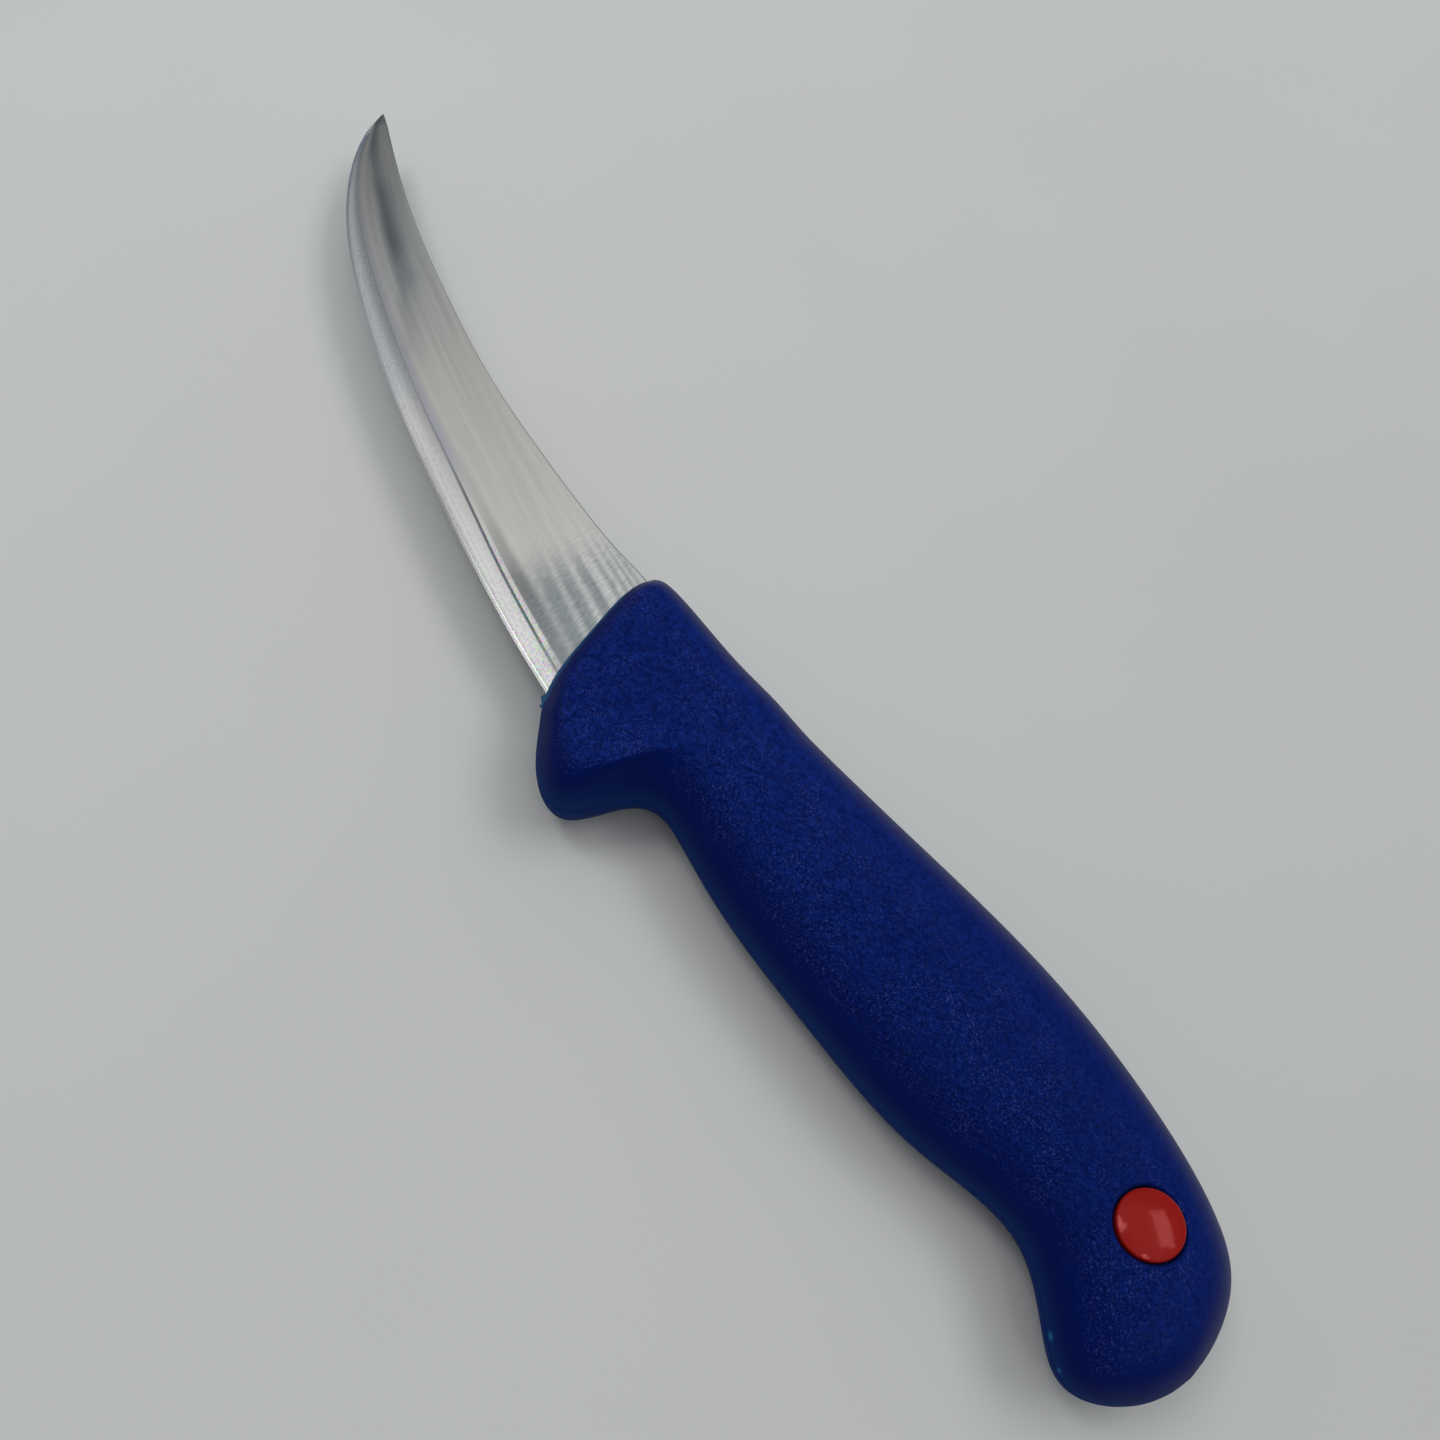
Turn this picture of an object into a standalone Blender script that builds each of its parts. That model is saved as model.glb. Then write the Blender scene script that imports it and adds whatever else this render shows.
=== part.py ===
"""Curved boning knife lying on its side: ground steel blade with a hidden tang,
moulded plastic handle with a finger guard, and a red plug set in the handle.

Plan coordinates are in millimetres: +X points to the tip, +Y to the cutting edge,
and the mould's parting plane is Z = 0. The origin of the plan is where the middle of
the blade leaves the handle. The whole knife is then set down on the ground at Z = 0,
with the middle of its bounding box over the world origin. Meshes are in metres.
"""
import bpy
import bmesh
import numpy as np
from mathutils import Matrix, Vector

MM = 0.001
MERGE = 0.00001                 # metres, for modifiers that merge
TINY = 1e-6
NAME = "boning_knife"

# Handle, in plan. Ribs cross the handle from its spine edge to its belly edge. They
# start at the butt and fan round the finger guard, and the last one is the mouth that
# the blade comes out of. Each rib gives its spine edge, its belly edge and its half
# thickness.
BUTT_END = (-146.6, -11.0)
HANDLE_RIBS = (
    ((-141.7, -23.3), (-143.7, -0.2), 9.6),
    ((-132.3, -29.0), (-134.8, 4.4), 11.2),
    ((-119.0, -31.2), (-119.5, -1.8), 10.4),
    ((-100.0, -31.4), (-100.0, 3.2), 11.6),
    ((-80.0, -29.0), (-78.0, 6.7), 12.0),
    ((-60.0, -25.0), (-57.0, 8.3), 11.6),
    ((-47.0, -22.4), (-42.0, 7.8), 10.8),
    ((-37.0, -20.6), (-33.1, 8.7), 10.4),
    ((-28.5, -19.5), (-29.5, 15.7), 10.3),
    ((-20.0, -18.0), (-26.4, 22.0), 10.2),
    ((-9.6, -16.9), (-20.1, 22.4), 9.8),
    ((0.4, -15.2), (-13.4, 18.5), 9.4),
    ((2.5, -11.4), (-9.0, 15.1), 9.0),
)
# The last ribs, in the head, have broad flat sides: how far in from the spine edge and
# from the belly edge each has risen to its half thickness. On the other ribs that is
# half the rib, which makes the section an oval.
HEAD_RISES = (
    (15.0, 12.0),
    (13.0, 8.0),
    (12.0, 7.0),
    (11.0, 7.0),
    (9.0, 7.0),
    (8.0, 7.0),
)
MOUTH_BOW_ANGLE = 20.0          # degrees by which the mouth bows towards the tip
MOUTH_LIP = 2.8                 # half thickness of the handle at the mouth
MOUTH_RUN = 5.0                 # how far back from the mouth the lip has risen away
MOUTH_FAN = 2.0                 # ribs over which the rows turn to follow the mouth
SECTION_FULLNESS = 2.1          # 2 is an ellipse, more is squarer
ROW_PULL = 0.58                 # how far a row goes on square to the edge, as a share of its rise
LEAST_RISE = 0.2                # shortest rise, as a share of half the row
RIB_STEPS = 5                   # mesh rows from one rib to the next
RIB_COLUMNS = 20                # mesh columns from edge to edge

# Blade, in plan: spine, cutting edge, and the width of the edge bevel. The first
# station is inside the handle and the last one is the tip.
BLADE_STATIONS = (
    ((-9.0, -14.0), (-17.0, 13.3), 3.4),
    ((4.0, -13.2), (-4.0, 13.1), 3.6),
    ((12.0, -12.05), (6.0, 12.8), 3.9),
    ((24.0, -11.2), (18.0, 12.0), 4.2),
    ((41.0, -10.8), (35.0, 10.4), 4.9),
    ((58.0, -11.2), (53.0, 7.9), 4.6),
    ((76.0, -13.2), (71.0, 4.8), 4.6),
    ((93.0, -15.9), (89.0, 0.4), 4.1),
    ((107.0, -19.1), (104.5, -5.3), 3.1),
    ((118.0, -22.3), (117.0, -12.7), 2.1),
    ((124.3, -24.3), (124.6, -19.8), 1.1),
    ((127.7, -25.2), (127.8, -24.9), 0.1),
)
BLADE_STEPS = 6                 # mesh sections from one station to the next
HEEL_SPINE_THICKNESS = 2.0      # spine of the blade at the handle
HEEL_SHOULDER_THICKNESS = 1.1   # top of the edge bevel at the handle
TIP_SPINE_THICKNESS = 1.2       # spine of the blade where the tip begins
TIP_POINT_THICKNESS = 0.2       # what is left at the very point
TIP_TAPER = 0.24                # thickness lost for each millimetre of width at the tip
MICRO_BEVEL_WIDTH = 0.6         # honed bevel along the cutting edge
MICRO_BEVEL_THICKNESS = 0.4
MICRO_BEVEL_LIMIT = 0.8         # of the shoulder, where the tip is thin
EDGE_THICKNESS = 0.04           # blunt enough to be a real face

# Root and tang, unground plate hidden in the handle. The root is as wide as the blade,
# and the tang runs back from it along the middle of the grip.
PLATE_THICKNESS = 2.2
ROOT_FRONT = ((-1.5, -11.8), (-12.5, 12.2))
ROOT_DEPTH = 7.0                # along the tang's direction, behind the front
TANG_START = (-22.0, -4.8)      # middle of the tang where it leaves the root
TANG_FALL_ANGLE = 6.8           # degrees, towards the spine side of the butt
TANG_LENGTH = 76.0
TANG_FRONT_WIDTH = 13.5
TANG_END_WIDTH = 9.0
PLATE_CORNER = 3.0
CORNER_STEPS = 4
TANG_HOLE_RADIUS = 3.0
TANG_HOLE_COUNT = 3
TANG_HOLE_FIRST = 12.0          # from the start of the tang to the first hole
TANG_HOLE_PITCH = 26.0
TANG_HOLE_SIDES = 24
MOULD_CLEARANCE = 0.3           # between the steel and the plastic moulded round it

# Red plug: a domed head in a shallow recess, with a spigot pressed in below it.
PLUG_PLACE = (-126.5, -16.05)   # where it sits on the upper side of the handle
PLUG_RADIUS = 5.1
PLUG_DOME = 0.9                 # height of the crown over the rim
PLUG_RIM_DEPTH = 0.25           # how far the rim lies below the handle's skin
PLUG_HEAD_THICKNESS = 1.6
PLUG_SPIGOT_RADIUS = 3.8
PLUG_SPIGOT_LENGTH = 4.5
PLUG_CLEARANCE = 0.3
PLUG_SIDES = 40
DOME_STEPS = 8

BLUE = (0.010, 0.020, 0.140)
STEEL = (0.52, 0.53, 0.53)
RED = (0.44, 0.022, 0.012)


def spline(points, steps):
    """Natural cubic spline through rows of numbers, with a number of steps a span."""
    p = np.asarray(points, float)
    system = 4.0 * np.eye(len(p)) + np.eye(len(p), k=1) + np.eye(len(p), k=-1)
    system[0, 0] = system[-1, -1] = 2.0
    ahead = np.vstack((p[1:], p[-1:]))
    behind = np.vstack((p[:1], p[:-1]))
    slope = np.linalg.solve(system, 3.0 * (ahead - behind))
    t = (np.arange(steps) / steps)[None, :, None]
    start, end = p[:-1, None], p[1:, None]
    leave, arrive = slope[:-1, None], slope[1:, None]
    curve = ((2 * t**3 - 3 * t**2 + 1) * start + (t**3 - 2 * t**2 + t) * leave
             + (3 * t**2 - 2 * t**3) * end + (t**3 - t**2) * arrive)
    return np.vstack((curve.reshape(-1, p.shape[1]), p[-1:]))


def unit(vectors):
    """Vectors along the last axis, made one long."""
    return vectors / np.linalg.norm(vectors, axis=-1, keepdims=True)


def turned(vectors, degrees):
    """Plan vectors turned counter-clockwise."""
    angle = np.radians(degrees)
    x, y = vectors[..., 0], vectors[..., 1]
    return np.stack((x * np.cos(angle) - y * np.sin(angle),
                     x * np.sin(angle) + y * np.cos(angle)), axis=-1)


def rise(share):
    """Quarter of an oval: 0 at the edge, 1 where the side has come up."""
    share = np.clip(share, 0.0, 1.0)
    return (1.0 - (1.0 - share)**SECTION_FULLNESS)**(1.0 / SECTION_FULLNESS)


def handle_surface():
    """Upper half of the handle as rows of points, from the butt to the mouth.

    Each row crosses the handle on a cubic curve that leaves both edges square to the
    outline, except that the rows turn to follow the mouth as they come to it. Its
    height is the half thickness times the rise from each edge, and drops to the lip
    towards the mouth. The square of the half thickness follows the spline, so that
    the butt closes in a round.
    """
    spine = [rib[0] for rib in HANDLE_RIBS]
    belly = [rib[1] for rib in HANDLE_RIBS]
    last = len(HANDLE_RIBS)
    outline = spline([*belly[::-1], BUTT_END, *spine], RIB_STEPS)
    travel = unit(np.gradient(outline, axis=0))
    inward = np.stack((-travel[:, 1], travel[:, 0]), axis=1)
    rows = last * RIB_STEPS + 1
    belly_edge, belly_in = outline[:rows][::-1], inward[:rows][::-1]
    spine_edge, spine_in = outline[rows - 1:], inward[rows - 1:]

    chord = spine_edge - belly_edge
    half_width = np.linalg.norm(chord, axis=1, keepdims=True) / 2.0
    chord[0] = travel[rows - 1]
    chord = unit(chord)
    rib = np.arange(rows)[:, None] / RIB_STEPS
    turn = np.clip((rib - last + MOUTH_FAN) / MOUTH_FAN, 0.0, 1.0)
    turn = turn * turn * (3.0 - 2.0 * turn)
    from_belly = unit((1 - turn) * belly_in + turn * turned(chord, MOUTH_BOW_ANGLE))
    from_spine = unit((1 - turn) * spine_in + turn * turned(-chord, -MOUTH_BOW_ANGLE))

    def run(side, half_row):
        """Distance over which each row rises from one edge, given half its length."""
        shares = np.ones((last + 1, 1))
        for number, rises in enumerate(HEAD_RISES, start=last + 1 - len(HEAD_RISES)):
            shares[number] = min(rises[side] / half_row[number * RIB_STEPS, 0], 1.0)
        return half_row * np.clip(spline(shares, RIB_STEPS), LEAST_RISE, 1.0)

    spine_pull = ROW_PULL * run(0, half_width) * from_spine
    belly_pull = ROW_PULL * run(1, half_width) * from_belly
    t = (1 - np.cos(np.linspace(0, np.pi, RIB_COLUMNS + 1)))[None, :, None] / 2.0
    plan = ((1 - t)**3 * belly_edge[:, None]
            + 3 * t * (1 - t)**2 * (belly_edge + belly_pull)[:, None]
            + 3 * t**2 * (1 - t) * (spine_edge + spine_pull)[:, None]
            + t**3 * spine_edge[:, None])

    step = np.linalg.norm(np.diff(plan, axis=1), axis=2)
    walked = np.hstack((np.zeros((rows, 1)), np.cumsum(step, axis=1)))
    left = walked[:, -1:] - walked
    half_row = np.maximum(walked[:, -1:], TINY) / 2.0
    risen = rise(walked / run(1, half_row)) * rise(left / run(0, half_row))

    squares = [[0.0], *([data[2]**2] for data in HANDLE_RIBS)]
    half = np.sqrt(np.maximum(spline(squares, RIB_STEPS), 0.0))
    mouth_gap = np.linalg.norm(plan[:, :, None] - plan[-1][None, None], axis=3).min(axis=2)
    back = rise(mouth_gap / MOUTH_RUN)
    lip = np.minimum(MOUTH_LIP, half)
    height = risen * (lip + (half - lip) * back)
    height[0] = 0.0
    height[:, 0] = height[:, -1] = 0.0
    return np.dstack((plan, height))


def blade_faces_plane():
    """Half thickness of the blade's flat sides as a * x + b * y + c."""
    heel_spine = BLADE_STATIONS[1][0]
    heel_edge = BLADE_STATIONS[1][1]
    heel_shoulder = (heel_edge[0], heel_edge[1] - BLADE_STATIONS[1][2])
    tip_spine = BLADE_STATIONS[-3][0]
    places = np.array([[*heel_spine, 1.0], [*heel_shoulder, 1.0], [*tip_spine, 1.0]])
    thicknesses = (HEEL_SPINE_THICKNESS, HEEL_SHOULDER_THICKNESS, TIP_SPINE_THICKNESS)
    return np.linalg.solve(places, np.array(thicknesses) / 2.0)


def blade_sections(clearance=0.0):
    """Eight-cornered sections of the ground blade, from inside the handle to the tip.

    Both flat sides lie in planes that taper to the tip and to the edge. A wide bevel
    runs from them to a narrow honed one. Clearance grows every section, for the cavity.
    """
    spine = spline([station[0] for station in BLADE_STATIONS], BLADE_STEPS)
    edge = spline([station[1] for station in BLADE_STATIONS], BLADE_STEPS)
    bevel = spline([[station[2]] for station in BLADE_STATIONS], BLADE_STEPS)
    width = np.linalg.norm(spine - edge, axis=1, keepdims=True)
    across = (spine - edge) / width
    micro = np.minimum(MICRO_BEVEL_WIDTH, bevel / 2.0)
    plan = np.stack((spine + clearance * across, edge + bevel * across,
                     edge + micro * across, edge - clearance * across), axis=1)
    a, b, c = blade_faces_plane()
    flat = a * plan[:, :2, 0] + b * plan[:, :2, 1] + c
    tip_limit = (TIP_POINT_THICKNESS + TIP_TAPER * width) / 2.0
    flat = np.minimum(flat, tip_limit)
    honed = np.minimum(MICRO_BEVEL_THICKNESS / 2.0, flat[:, 1:] * MICRO_BEVEL_LIMIT)
    keen = np.full_like(honed, EDGE_THICKNESS / 2.0)
    half = np.hstack((flat, honed, keen))[:, :, None] + clearance
    upper = np.dstack((plan, half))
    lower = np.dstack((plan, -half))[:, ::-1]
    return np.concatenate((upper, lower), axis=1)


def plate_outline(clearance=0.0):
    """Corners of the root and tang in plan, grown outwards by the clearance."""
    back = turned(np.array((-1.0, 0.0)), TANG_FALL_ANGLE)
    side = turned(np.array((0.0, 1.0)), TANG_FALL_ANGLE)
    start = np.array(TANG_START)
    end = start + TANG_LENGTH * back
    spine_front, edge_front = (np.array(point) for point in ROOT_FRONT)
    corners = np.array((
        spine_front,
        edge_front,
        edge_front + ROOT_DEPTH * back,
        start + side * TANG_FRONT_WIDTH / 2.0,
        end + side * TANG_END_WIDTH / 2.0,
        end - side * TANG_END_WIDTH / 2.0,
        start - side * TANG_FRONT_WIDTH / 2.0,
        spine_front + ROOT_DEPTH * back,
    ))
    ahead = unit(np.roll(corners, -1, axis=0) - corners)
    behind = np.roll(ahead, 1, axis=0)
    normal_ahead = np.stack((ahead[:, 1], -ahead[:, 0]), axis=1)
    normal_behind = np.stack((behind[:, 1], -behind[:, 0]), axis=1)
    mitre = normal_ahead + normal_behind
    mitre /= (1.0 + np.sum(normal_ahead * normal_behind, axis=1))[:, None]
    return corners + clearance * mitre


def tang_hole_places():
    """Centres of the tang's holes in plan."""
    back = turned(np.array((-1.0, 0.0)), TANG_FALL_ANGLE)
    for number in range(TANG_HOLE_COUNT):
        yield np.array(TANG_START) + (TANG_HOLE_FIRST + number * TANG_HOLE_PITCH) * back


def new_object(name, mesh, collection):
    """Object with a mesh, linked to a collection and carried by the knife's frame."""
    obj = bpy.data.objects.new(name, mesh)
    obj.parent = knife_frame
    collection.objects.link(obj)
    return obj


def mesh_from(name, bm):
    """Mesh in metres from a bmesh in millimetres, with its faces pointing out."""
    bmesh.ops.recalc_face_normals(bm, faces=bm.faces)
    bmesh.ops.scale(bm, vec=(MM, MM, MM), verts=bm.verts)
    mesh = bpy.data.meshes.new(name)
    bm.to_mesh(mesh)
    bm.free()
    return mesh


def material(name, colour, roughness, metallic=0.0):
    """Principled material with the part's own colour."""
    mat = bpy.data.materials.new(name)
    mat.use_nodes = True
    shader = mat.node_tree.nodes["Principled BSDF"]
    shader.inputs["Base Color"].default_value = (*colour, 1.0)
    shader.inputs["Roughness"].default_value = roughness
    shader.inputs["Metallic"].default_value = metallic
    return mat


def cut(obj, cutter, operation="DIFFERENCE"):
    """Boolean modifier on an object."""
    modifier = obj.modifiers.new(cutter.name, "BOOLEAN")
    modifier.object = cutter
    modifier.operation = operation
    modifier.solver = "EXACT"
    return modifier


def hide_cutter(obj):
    """Mark an object as a cutter."""
    obj.hide_render = True
    obj.display_type = "WIRE"


def smooth(obj, degrees=35.0):
    """Smooth shading, with the sharp edges kept."""
    obj.data.shade_smooth()
    obj.data.set_sharp_from_angle(angle=np.radians(degrees))


def loft_mesh(name, sections):
    """Closed mesh through sections of equal corner count, capped at both ends."""
    bm = bmesh.new()
    rings = [[bm.verts.new(corner) for corner in section] for section in sections]
    count = len(rings[0])
    for near, far in zip(rings, rings[1:]):
        for i in range(count):
            j = (i + 1) % count
            bm.faces.new((near[i], near[j], far[j], far[i]))
    bm.faces.new(rings[0][::-1])
    bm.faces.new(rings[-1])
    return mesh_from(name, bm)


def handle_mesh():
    """Upper half of the handle, open at the parting plane, where a Mirror closes it."""
    points = handle_surface()
    bm = bmesh.new()
    butt = bm.verts.new(points[0, 0])
    rows = [[bm.verts.new(point) for point in row] for row in points[1:]]
    for left, right in zip(rows[0], rows[0][1:]):
        bm.faces.new((butt, left, right))
    for near, far in zip(rows, rows[1:]):
        for i in range(RIB_COLUMNS):
            bm.faces.new((near[i], far[i], far[i + 1], near[i + 1]))
    mouth = rows[-1]
    floor = [bm.verts.new((v.co.x, v.co.y, 0.0)) for v in mouth[1:-1]]
    floor = [mouth[0], *floor, mouth[-1]]
    bm.faces.new((mouth[0], floor[1], mouth[1]))
    for i in range(1, RIB_COLUMNS - 1):
        bm.faces.new((mouth[i], floor[i], floor[i + 1], mouth[i + 1]))
    bm.faces.new((mouth[-2], floor[-2], mouth[-1]))
    bmesh.ops.recalc_face_normals(bm, faces=bm.faces)
    if max(bm.faces, key=lambda face: face.calc_center_median().z).normal.z < 0.0:
        bmesh.ops.reverse_faces(bm, faces=bm.faces)
    bmesh.ops.scale(bm, vec=(MM, MM, MM), verts=bm.verts)
    mesh = bpy.data.meshes.new("handle")
    bm.to_mesh(mesh)
    bm.free()
    return mesh


def plate(name, clearance, collection):
    """Root and tang: a flat outline with rounded corners, thickened and drilled."""
    bm = bmesh.new()
    corners = [bm.verts.new((x, y, 0.0)) for x, y in plate_outline(clearance)]
    bm.faces.new(corners)
    obj = new_object(name, mesh_from(name, bm), collection)
    rounding = obj.modifiers.new("corners", "BEVEL")
    rounding.affect = "VERTICES"
    rounding.width = PLATE_CORNER * MM
    rounding.segments = CORNER_STEPS
    rounding.limit_method = "NONE"
    thicken = obj.modifiers.new("thickness", "SOLIDIFY")
    thicken.thickness = (PLATE_THICKNESS + 2.0 * clearance) * MM
    thicken.offset = 0.0
    for number, (x, y) in enumerate(tang_hole_places(), start=1):
        bm = bmesh.new()
        bmesh.ops.create_cone(
            bm, cap_ends=True, segments=TANG_HOLE_SIDES, depth=PLATE_THICKNESS * 3.0,
            radius1=TANG_HOLE_RADIUS - clearance, radius2=TANG_HOLE_RADIUS - clearance,
            matrix=Matrix.Translation((x, y, 0.0)))
        drill = new_object(f"{name}_drill_{number}", mesh_from(f"{name}_drill", bm), cutters)
        hide_cutter(drill)
        cut(obj, drill)
    return obj


def turned_profile(name, profile, collection):
    """Solid turned round Z from a half profile that runs down its outer side."""
    bm = bmesh.new()
    verts = [bm.verts.new((radius, 0.0, height)) for radius, height in profile]
    for upper, lower in zip(verts, verts[1:]):
        bm.edges.new((upper, lower))
    bmesh.ops.scale(bm, vec=(MM, MM, MM), verts=bm.verts)
    mesh = bpy.data.meshes.new(name)
    bm.to_mesh(mesh)
    bm.free()
    obj = new_object(name, mesh, collection)
    screw = obj.modifiers.new("turn", "SCREW")
    screw.steps = screw.render_steps = PLUG_SIDES
    screw.use_merge_vertices = True
    screw.merge_threshold = MERGE
    screw.use_smooth_shade = True
    return obj


def plug_profile():
    """Dome, rim, head and spigot of the plug, down its outer side. Its rim is Z = 0."""
    sphere = (PLUG_RADIUS**2 + PLUG_DOME**2) / (2.0 * PLUG_DOME)
    reach = np.arcsin(PLUG_RADIUS / sphere)
    dome = [(sphere * np.sin(a), sphere * np.cos(a) - sphere + PLUG_DOME)
            for a in np.linspace(0.0, reach, DOME_STEPS + 1)]
    under = -PLUG_HEAD_THICKNESS
    return [*dome, (PLUG_RADIUS, under), (PLUG_SPIGOT_RADIUS, under),
            (PLUG_SPIGOT_RADIUS, under - PLUG_SPIGOT_LENGTH), (0.0, under - PLUG_SPIGOT_LENGTH)]


def socket_profile():
    """Stepped hole that takes the plug with its clearance all round."""
    gap = PLUG_CLEARANCE
    head = PLUG_RADIUS + gap
    spigot = PLUG_SPIGOT_RADIUS + gap
    above = PLUG_DOME + PLUG_RADIUS
    under = -PLUG_HEAD_THICKNESS - gap
    return [(0.0, above), (head, above), (head, under), (spigot, under),
            (spigot, under - PLUG_SPIGOT_LENGTH), (0.0, under - PLUG_SPIGOT_LENGTH)]


def plug_seat():
    """Place of the plug's rim and the direction it faces, on the handle's skin."""
    points = handle_surface()
    away = np.linalg.norm(points[:, :, :2] - PLUG_PLACE, axis=2)
    row, column = np.unravel_index(np.argmin(away), away.shape)
    along = points[row + 1, column] - points[row - 1, column]
    across = points[row, column + 1] - points[row, column - 1]
    normal = unit(np.cross(across, along))
    normal *= np.sign(normal[2])
    near = points[row, column]
    offset = np.array(PLUG_PLACE) - near[:2]
    height = near[2] - float(offset @ normal[:2]) / normal[2]
    skin = np.array((*PLUG_PLACE, height))
    return Vector(skin - PLUG_RIM_DEPTH * normal), Vector(normal)


for old in list(bpy.data.objects):
    bpy.data.objects.remove(old, do_unlink=True)

knife = bpy.data.collections.new(NAME)
cutters = bpy.data.collections.new("cutters")
bpy.context.scene.collection.children.link(knife)
bpy.context.scene.collection.children.link(cutters)

# Frame: the knife lies on the widest part of its handle, centred over the origin.
surface = handle_surface()
corners = np.vstack((surface.reshape(-1, 3), blade_sections().reshape(-1, 3)))
middle = (corners[:, :2].min(axis=0) + corners[:, :2].max(axis=0)) / 2.0
knife_frame = bpy.data.objects.new("knife_frame", None)
knife_frame.location = (-middle[0] * MM, -middle[1] * MM, surface[:, :, 2].max() * MM)
knife.objects.link(knife_frame)

# Blade with root and tang, one piece of steel.
blade = new_object("blade", loft_mesh("blade", blade_sections()), knife)
tang = plate("tang", 0.0, cutters)
hide_cutter(tang)
cut(blade, tang, "UNION")
blade.data.materials.append(material("ground_steel", STEEL, 0.32, 1.0))
smooth(blade)

# Cavity that the steel fills in the handle, with the holes in the tang left as pillars.
blade_cavity = new_object(
    "blade_cavity", loft_mesh("blade_cavity", blade_sections(MOULD_CLEARANCE)), cutters)
hide_cutter(blade_cavity)
tang_cavity = plate("tang_cavity", MOULD_CLEARANCE, cutters)
hide_cutter(tang_cavity)

# Plug and its socket, tilted to stand square on the handle's skin.
seat, facing = plug_seat()
lean = facing.to_track_quat("Z", "X").to_euler()
plug = turned_profile("handle_plug", plug_profile(), knife)
socket = turned_profile("plug_socket", socket_profile(), cutters)
hide_cutter(socket)
for turned_piece in (plug, socket):
    turned_piece.location = seat * MM
    turned_piece.rotation_euler = lean
plug.data.materials.append(material("red_plastic", RED, 0.15))

# Handle, moulded round the tang.
handle = new_object("handle", handle_mesh(), knife)
mirror = handle.modifiers.new("lower_half", "MIRROR")
mirror.use_axis = (False, False, True)
mirror.merge_threshold = MERGE
cut(handle, blade_cavity)
cut(handle, tang_cavity)
cut(handle, socket)
handle.data.materials.append(material("blue_plastic", BLUE, 0.55))
smooth(handle)
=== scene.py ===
"""Curved boning knife lying on its side on a pale table, dressed over its CAD frame.

Plan coordinates are in millimetres from the middle of the blade where it leaves the
handle: X points to the tip, Y to the cutting edge, and Z up from the mould's parting
plane, half way up the handle.
"""

import bmesh
import bpy
import numpy as np
from mathutils import Matrix, Quaternion, Vector


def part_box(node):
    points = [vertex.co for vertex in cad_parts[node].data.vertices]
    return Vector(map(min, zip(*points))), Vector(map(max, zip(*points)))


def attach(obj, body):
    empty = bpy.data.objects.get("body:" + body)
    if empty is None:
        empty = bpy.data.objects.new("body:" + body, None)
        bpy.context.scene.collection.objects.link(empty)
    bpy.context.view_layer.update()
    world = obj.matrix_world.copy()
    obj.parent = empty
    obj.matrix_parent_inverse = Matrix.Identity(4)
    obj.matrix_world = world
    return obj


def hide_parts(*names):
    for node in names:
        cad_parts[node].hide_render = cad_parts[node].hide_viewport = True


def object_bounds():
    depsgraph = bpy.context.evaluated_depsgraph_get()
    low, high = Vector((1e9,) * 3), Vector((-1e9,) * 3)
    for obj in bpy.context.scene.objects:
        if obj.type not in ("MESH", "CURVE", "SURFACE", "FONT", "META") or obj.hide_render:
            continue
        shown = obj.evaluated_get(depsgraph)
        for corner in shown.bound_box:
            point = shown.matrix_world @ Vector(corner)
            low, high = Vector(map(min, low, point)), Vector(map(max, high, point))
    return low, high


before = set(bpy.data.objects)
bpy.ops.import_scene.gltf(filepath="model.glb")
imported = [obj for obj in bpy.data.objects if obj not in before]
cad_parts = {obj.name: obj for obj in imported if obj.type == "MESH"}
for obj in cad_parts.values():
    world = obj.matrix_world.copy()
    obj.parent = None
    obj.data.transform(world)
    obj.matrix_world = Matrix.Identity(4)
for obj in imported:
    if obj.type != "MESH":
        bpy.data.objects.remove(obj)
cad_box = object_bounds()

# Where the plan's origin lies in the frame, from the blade's tip and spine and from the
# handle's thickness, which the parting plane halves.
MM = 0.001
TIP_X = 127.8
TIP_Y = -25.2
blade_low, blade_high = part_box("blade")
plan_origin = np.array((blade_high.x / MM - TIP_X, blade_low.y / MM - TIP_Y, cad_box[1].z / MM / 2.0))


# Table: a board top painted a pale warm grey, with the knife lying on its side on it. It
# is wide enough for a low view to end on it.
TABLE_SIDE = 6000.0             # mm
TABLE_GREY = "DEE0DF"
# The darker grey, for the mottling and for the painted shade away from the tip.
TABLE_GREY_SHADED_AND_MOTTLED = "C9CBCA"
MOTTLE = 111.0                  # mm between the paler patches of the paint


def linear(code):
    """Hex sRGB code as a linear colour with alpha."""
    srgb = np.array([int(code[i:i + 2], 16) for i in (0, 2, 4)]) / 255.0
    rgb = np.where(srgb <= 0.04045, srgb / 12.92, ((srgb + 0.055) / 1.055) ** 2.4)
    return (*rgb.tolist(), 1.0)


def add(tree, kind, sockets=None, **settings):
    """New shader node of a kind, with its settings, and its inputs as values or links."""
    made = tree.nodes.new("ShaderNode" + kind)
    for name, value in settings.items():
        setattr(made, name, value)
    for key, value in (sockets or {}).items():
        if isinstance(value, bpy.types.NodeSocket):
            tree.links.new(value, made.inputs[key])
        else:
            made.inputs[key].default_value = value
    return made


def new_material(name):
    """Material with an empty tree and its output node."""
    made = bpy.data.materials.new(name)
    made.use_nodes = True
    made.node_tree.nodes.clear()
    return made, made.node_tree, add(made.node_tree, "OutputMaterial")


def new_piece(name, mesh, *materials):
    """Object at the origin, in the scene, with its materials."""
    piece = bpy.data.objects.new(name, mesh)
    bpy.context.scene.collection.objects.link(piece)
    for each in materials:
        mesh.materials.append(each)
    return piece
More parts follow.
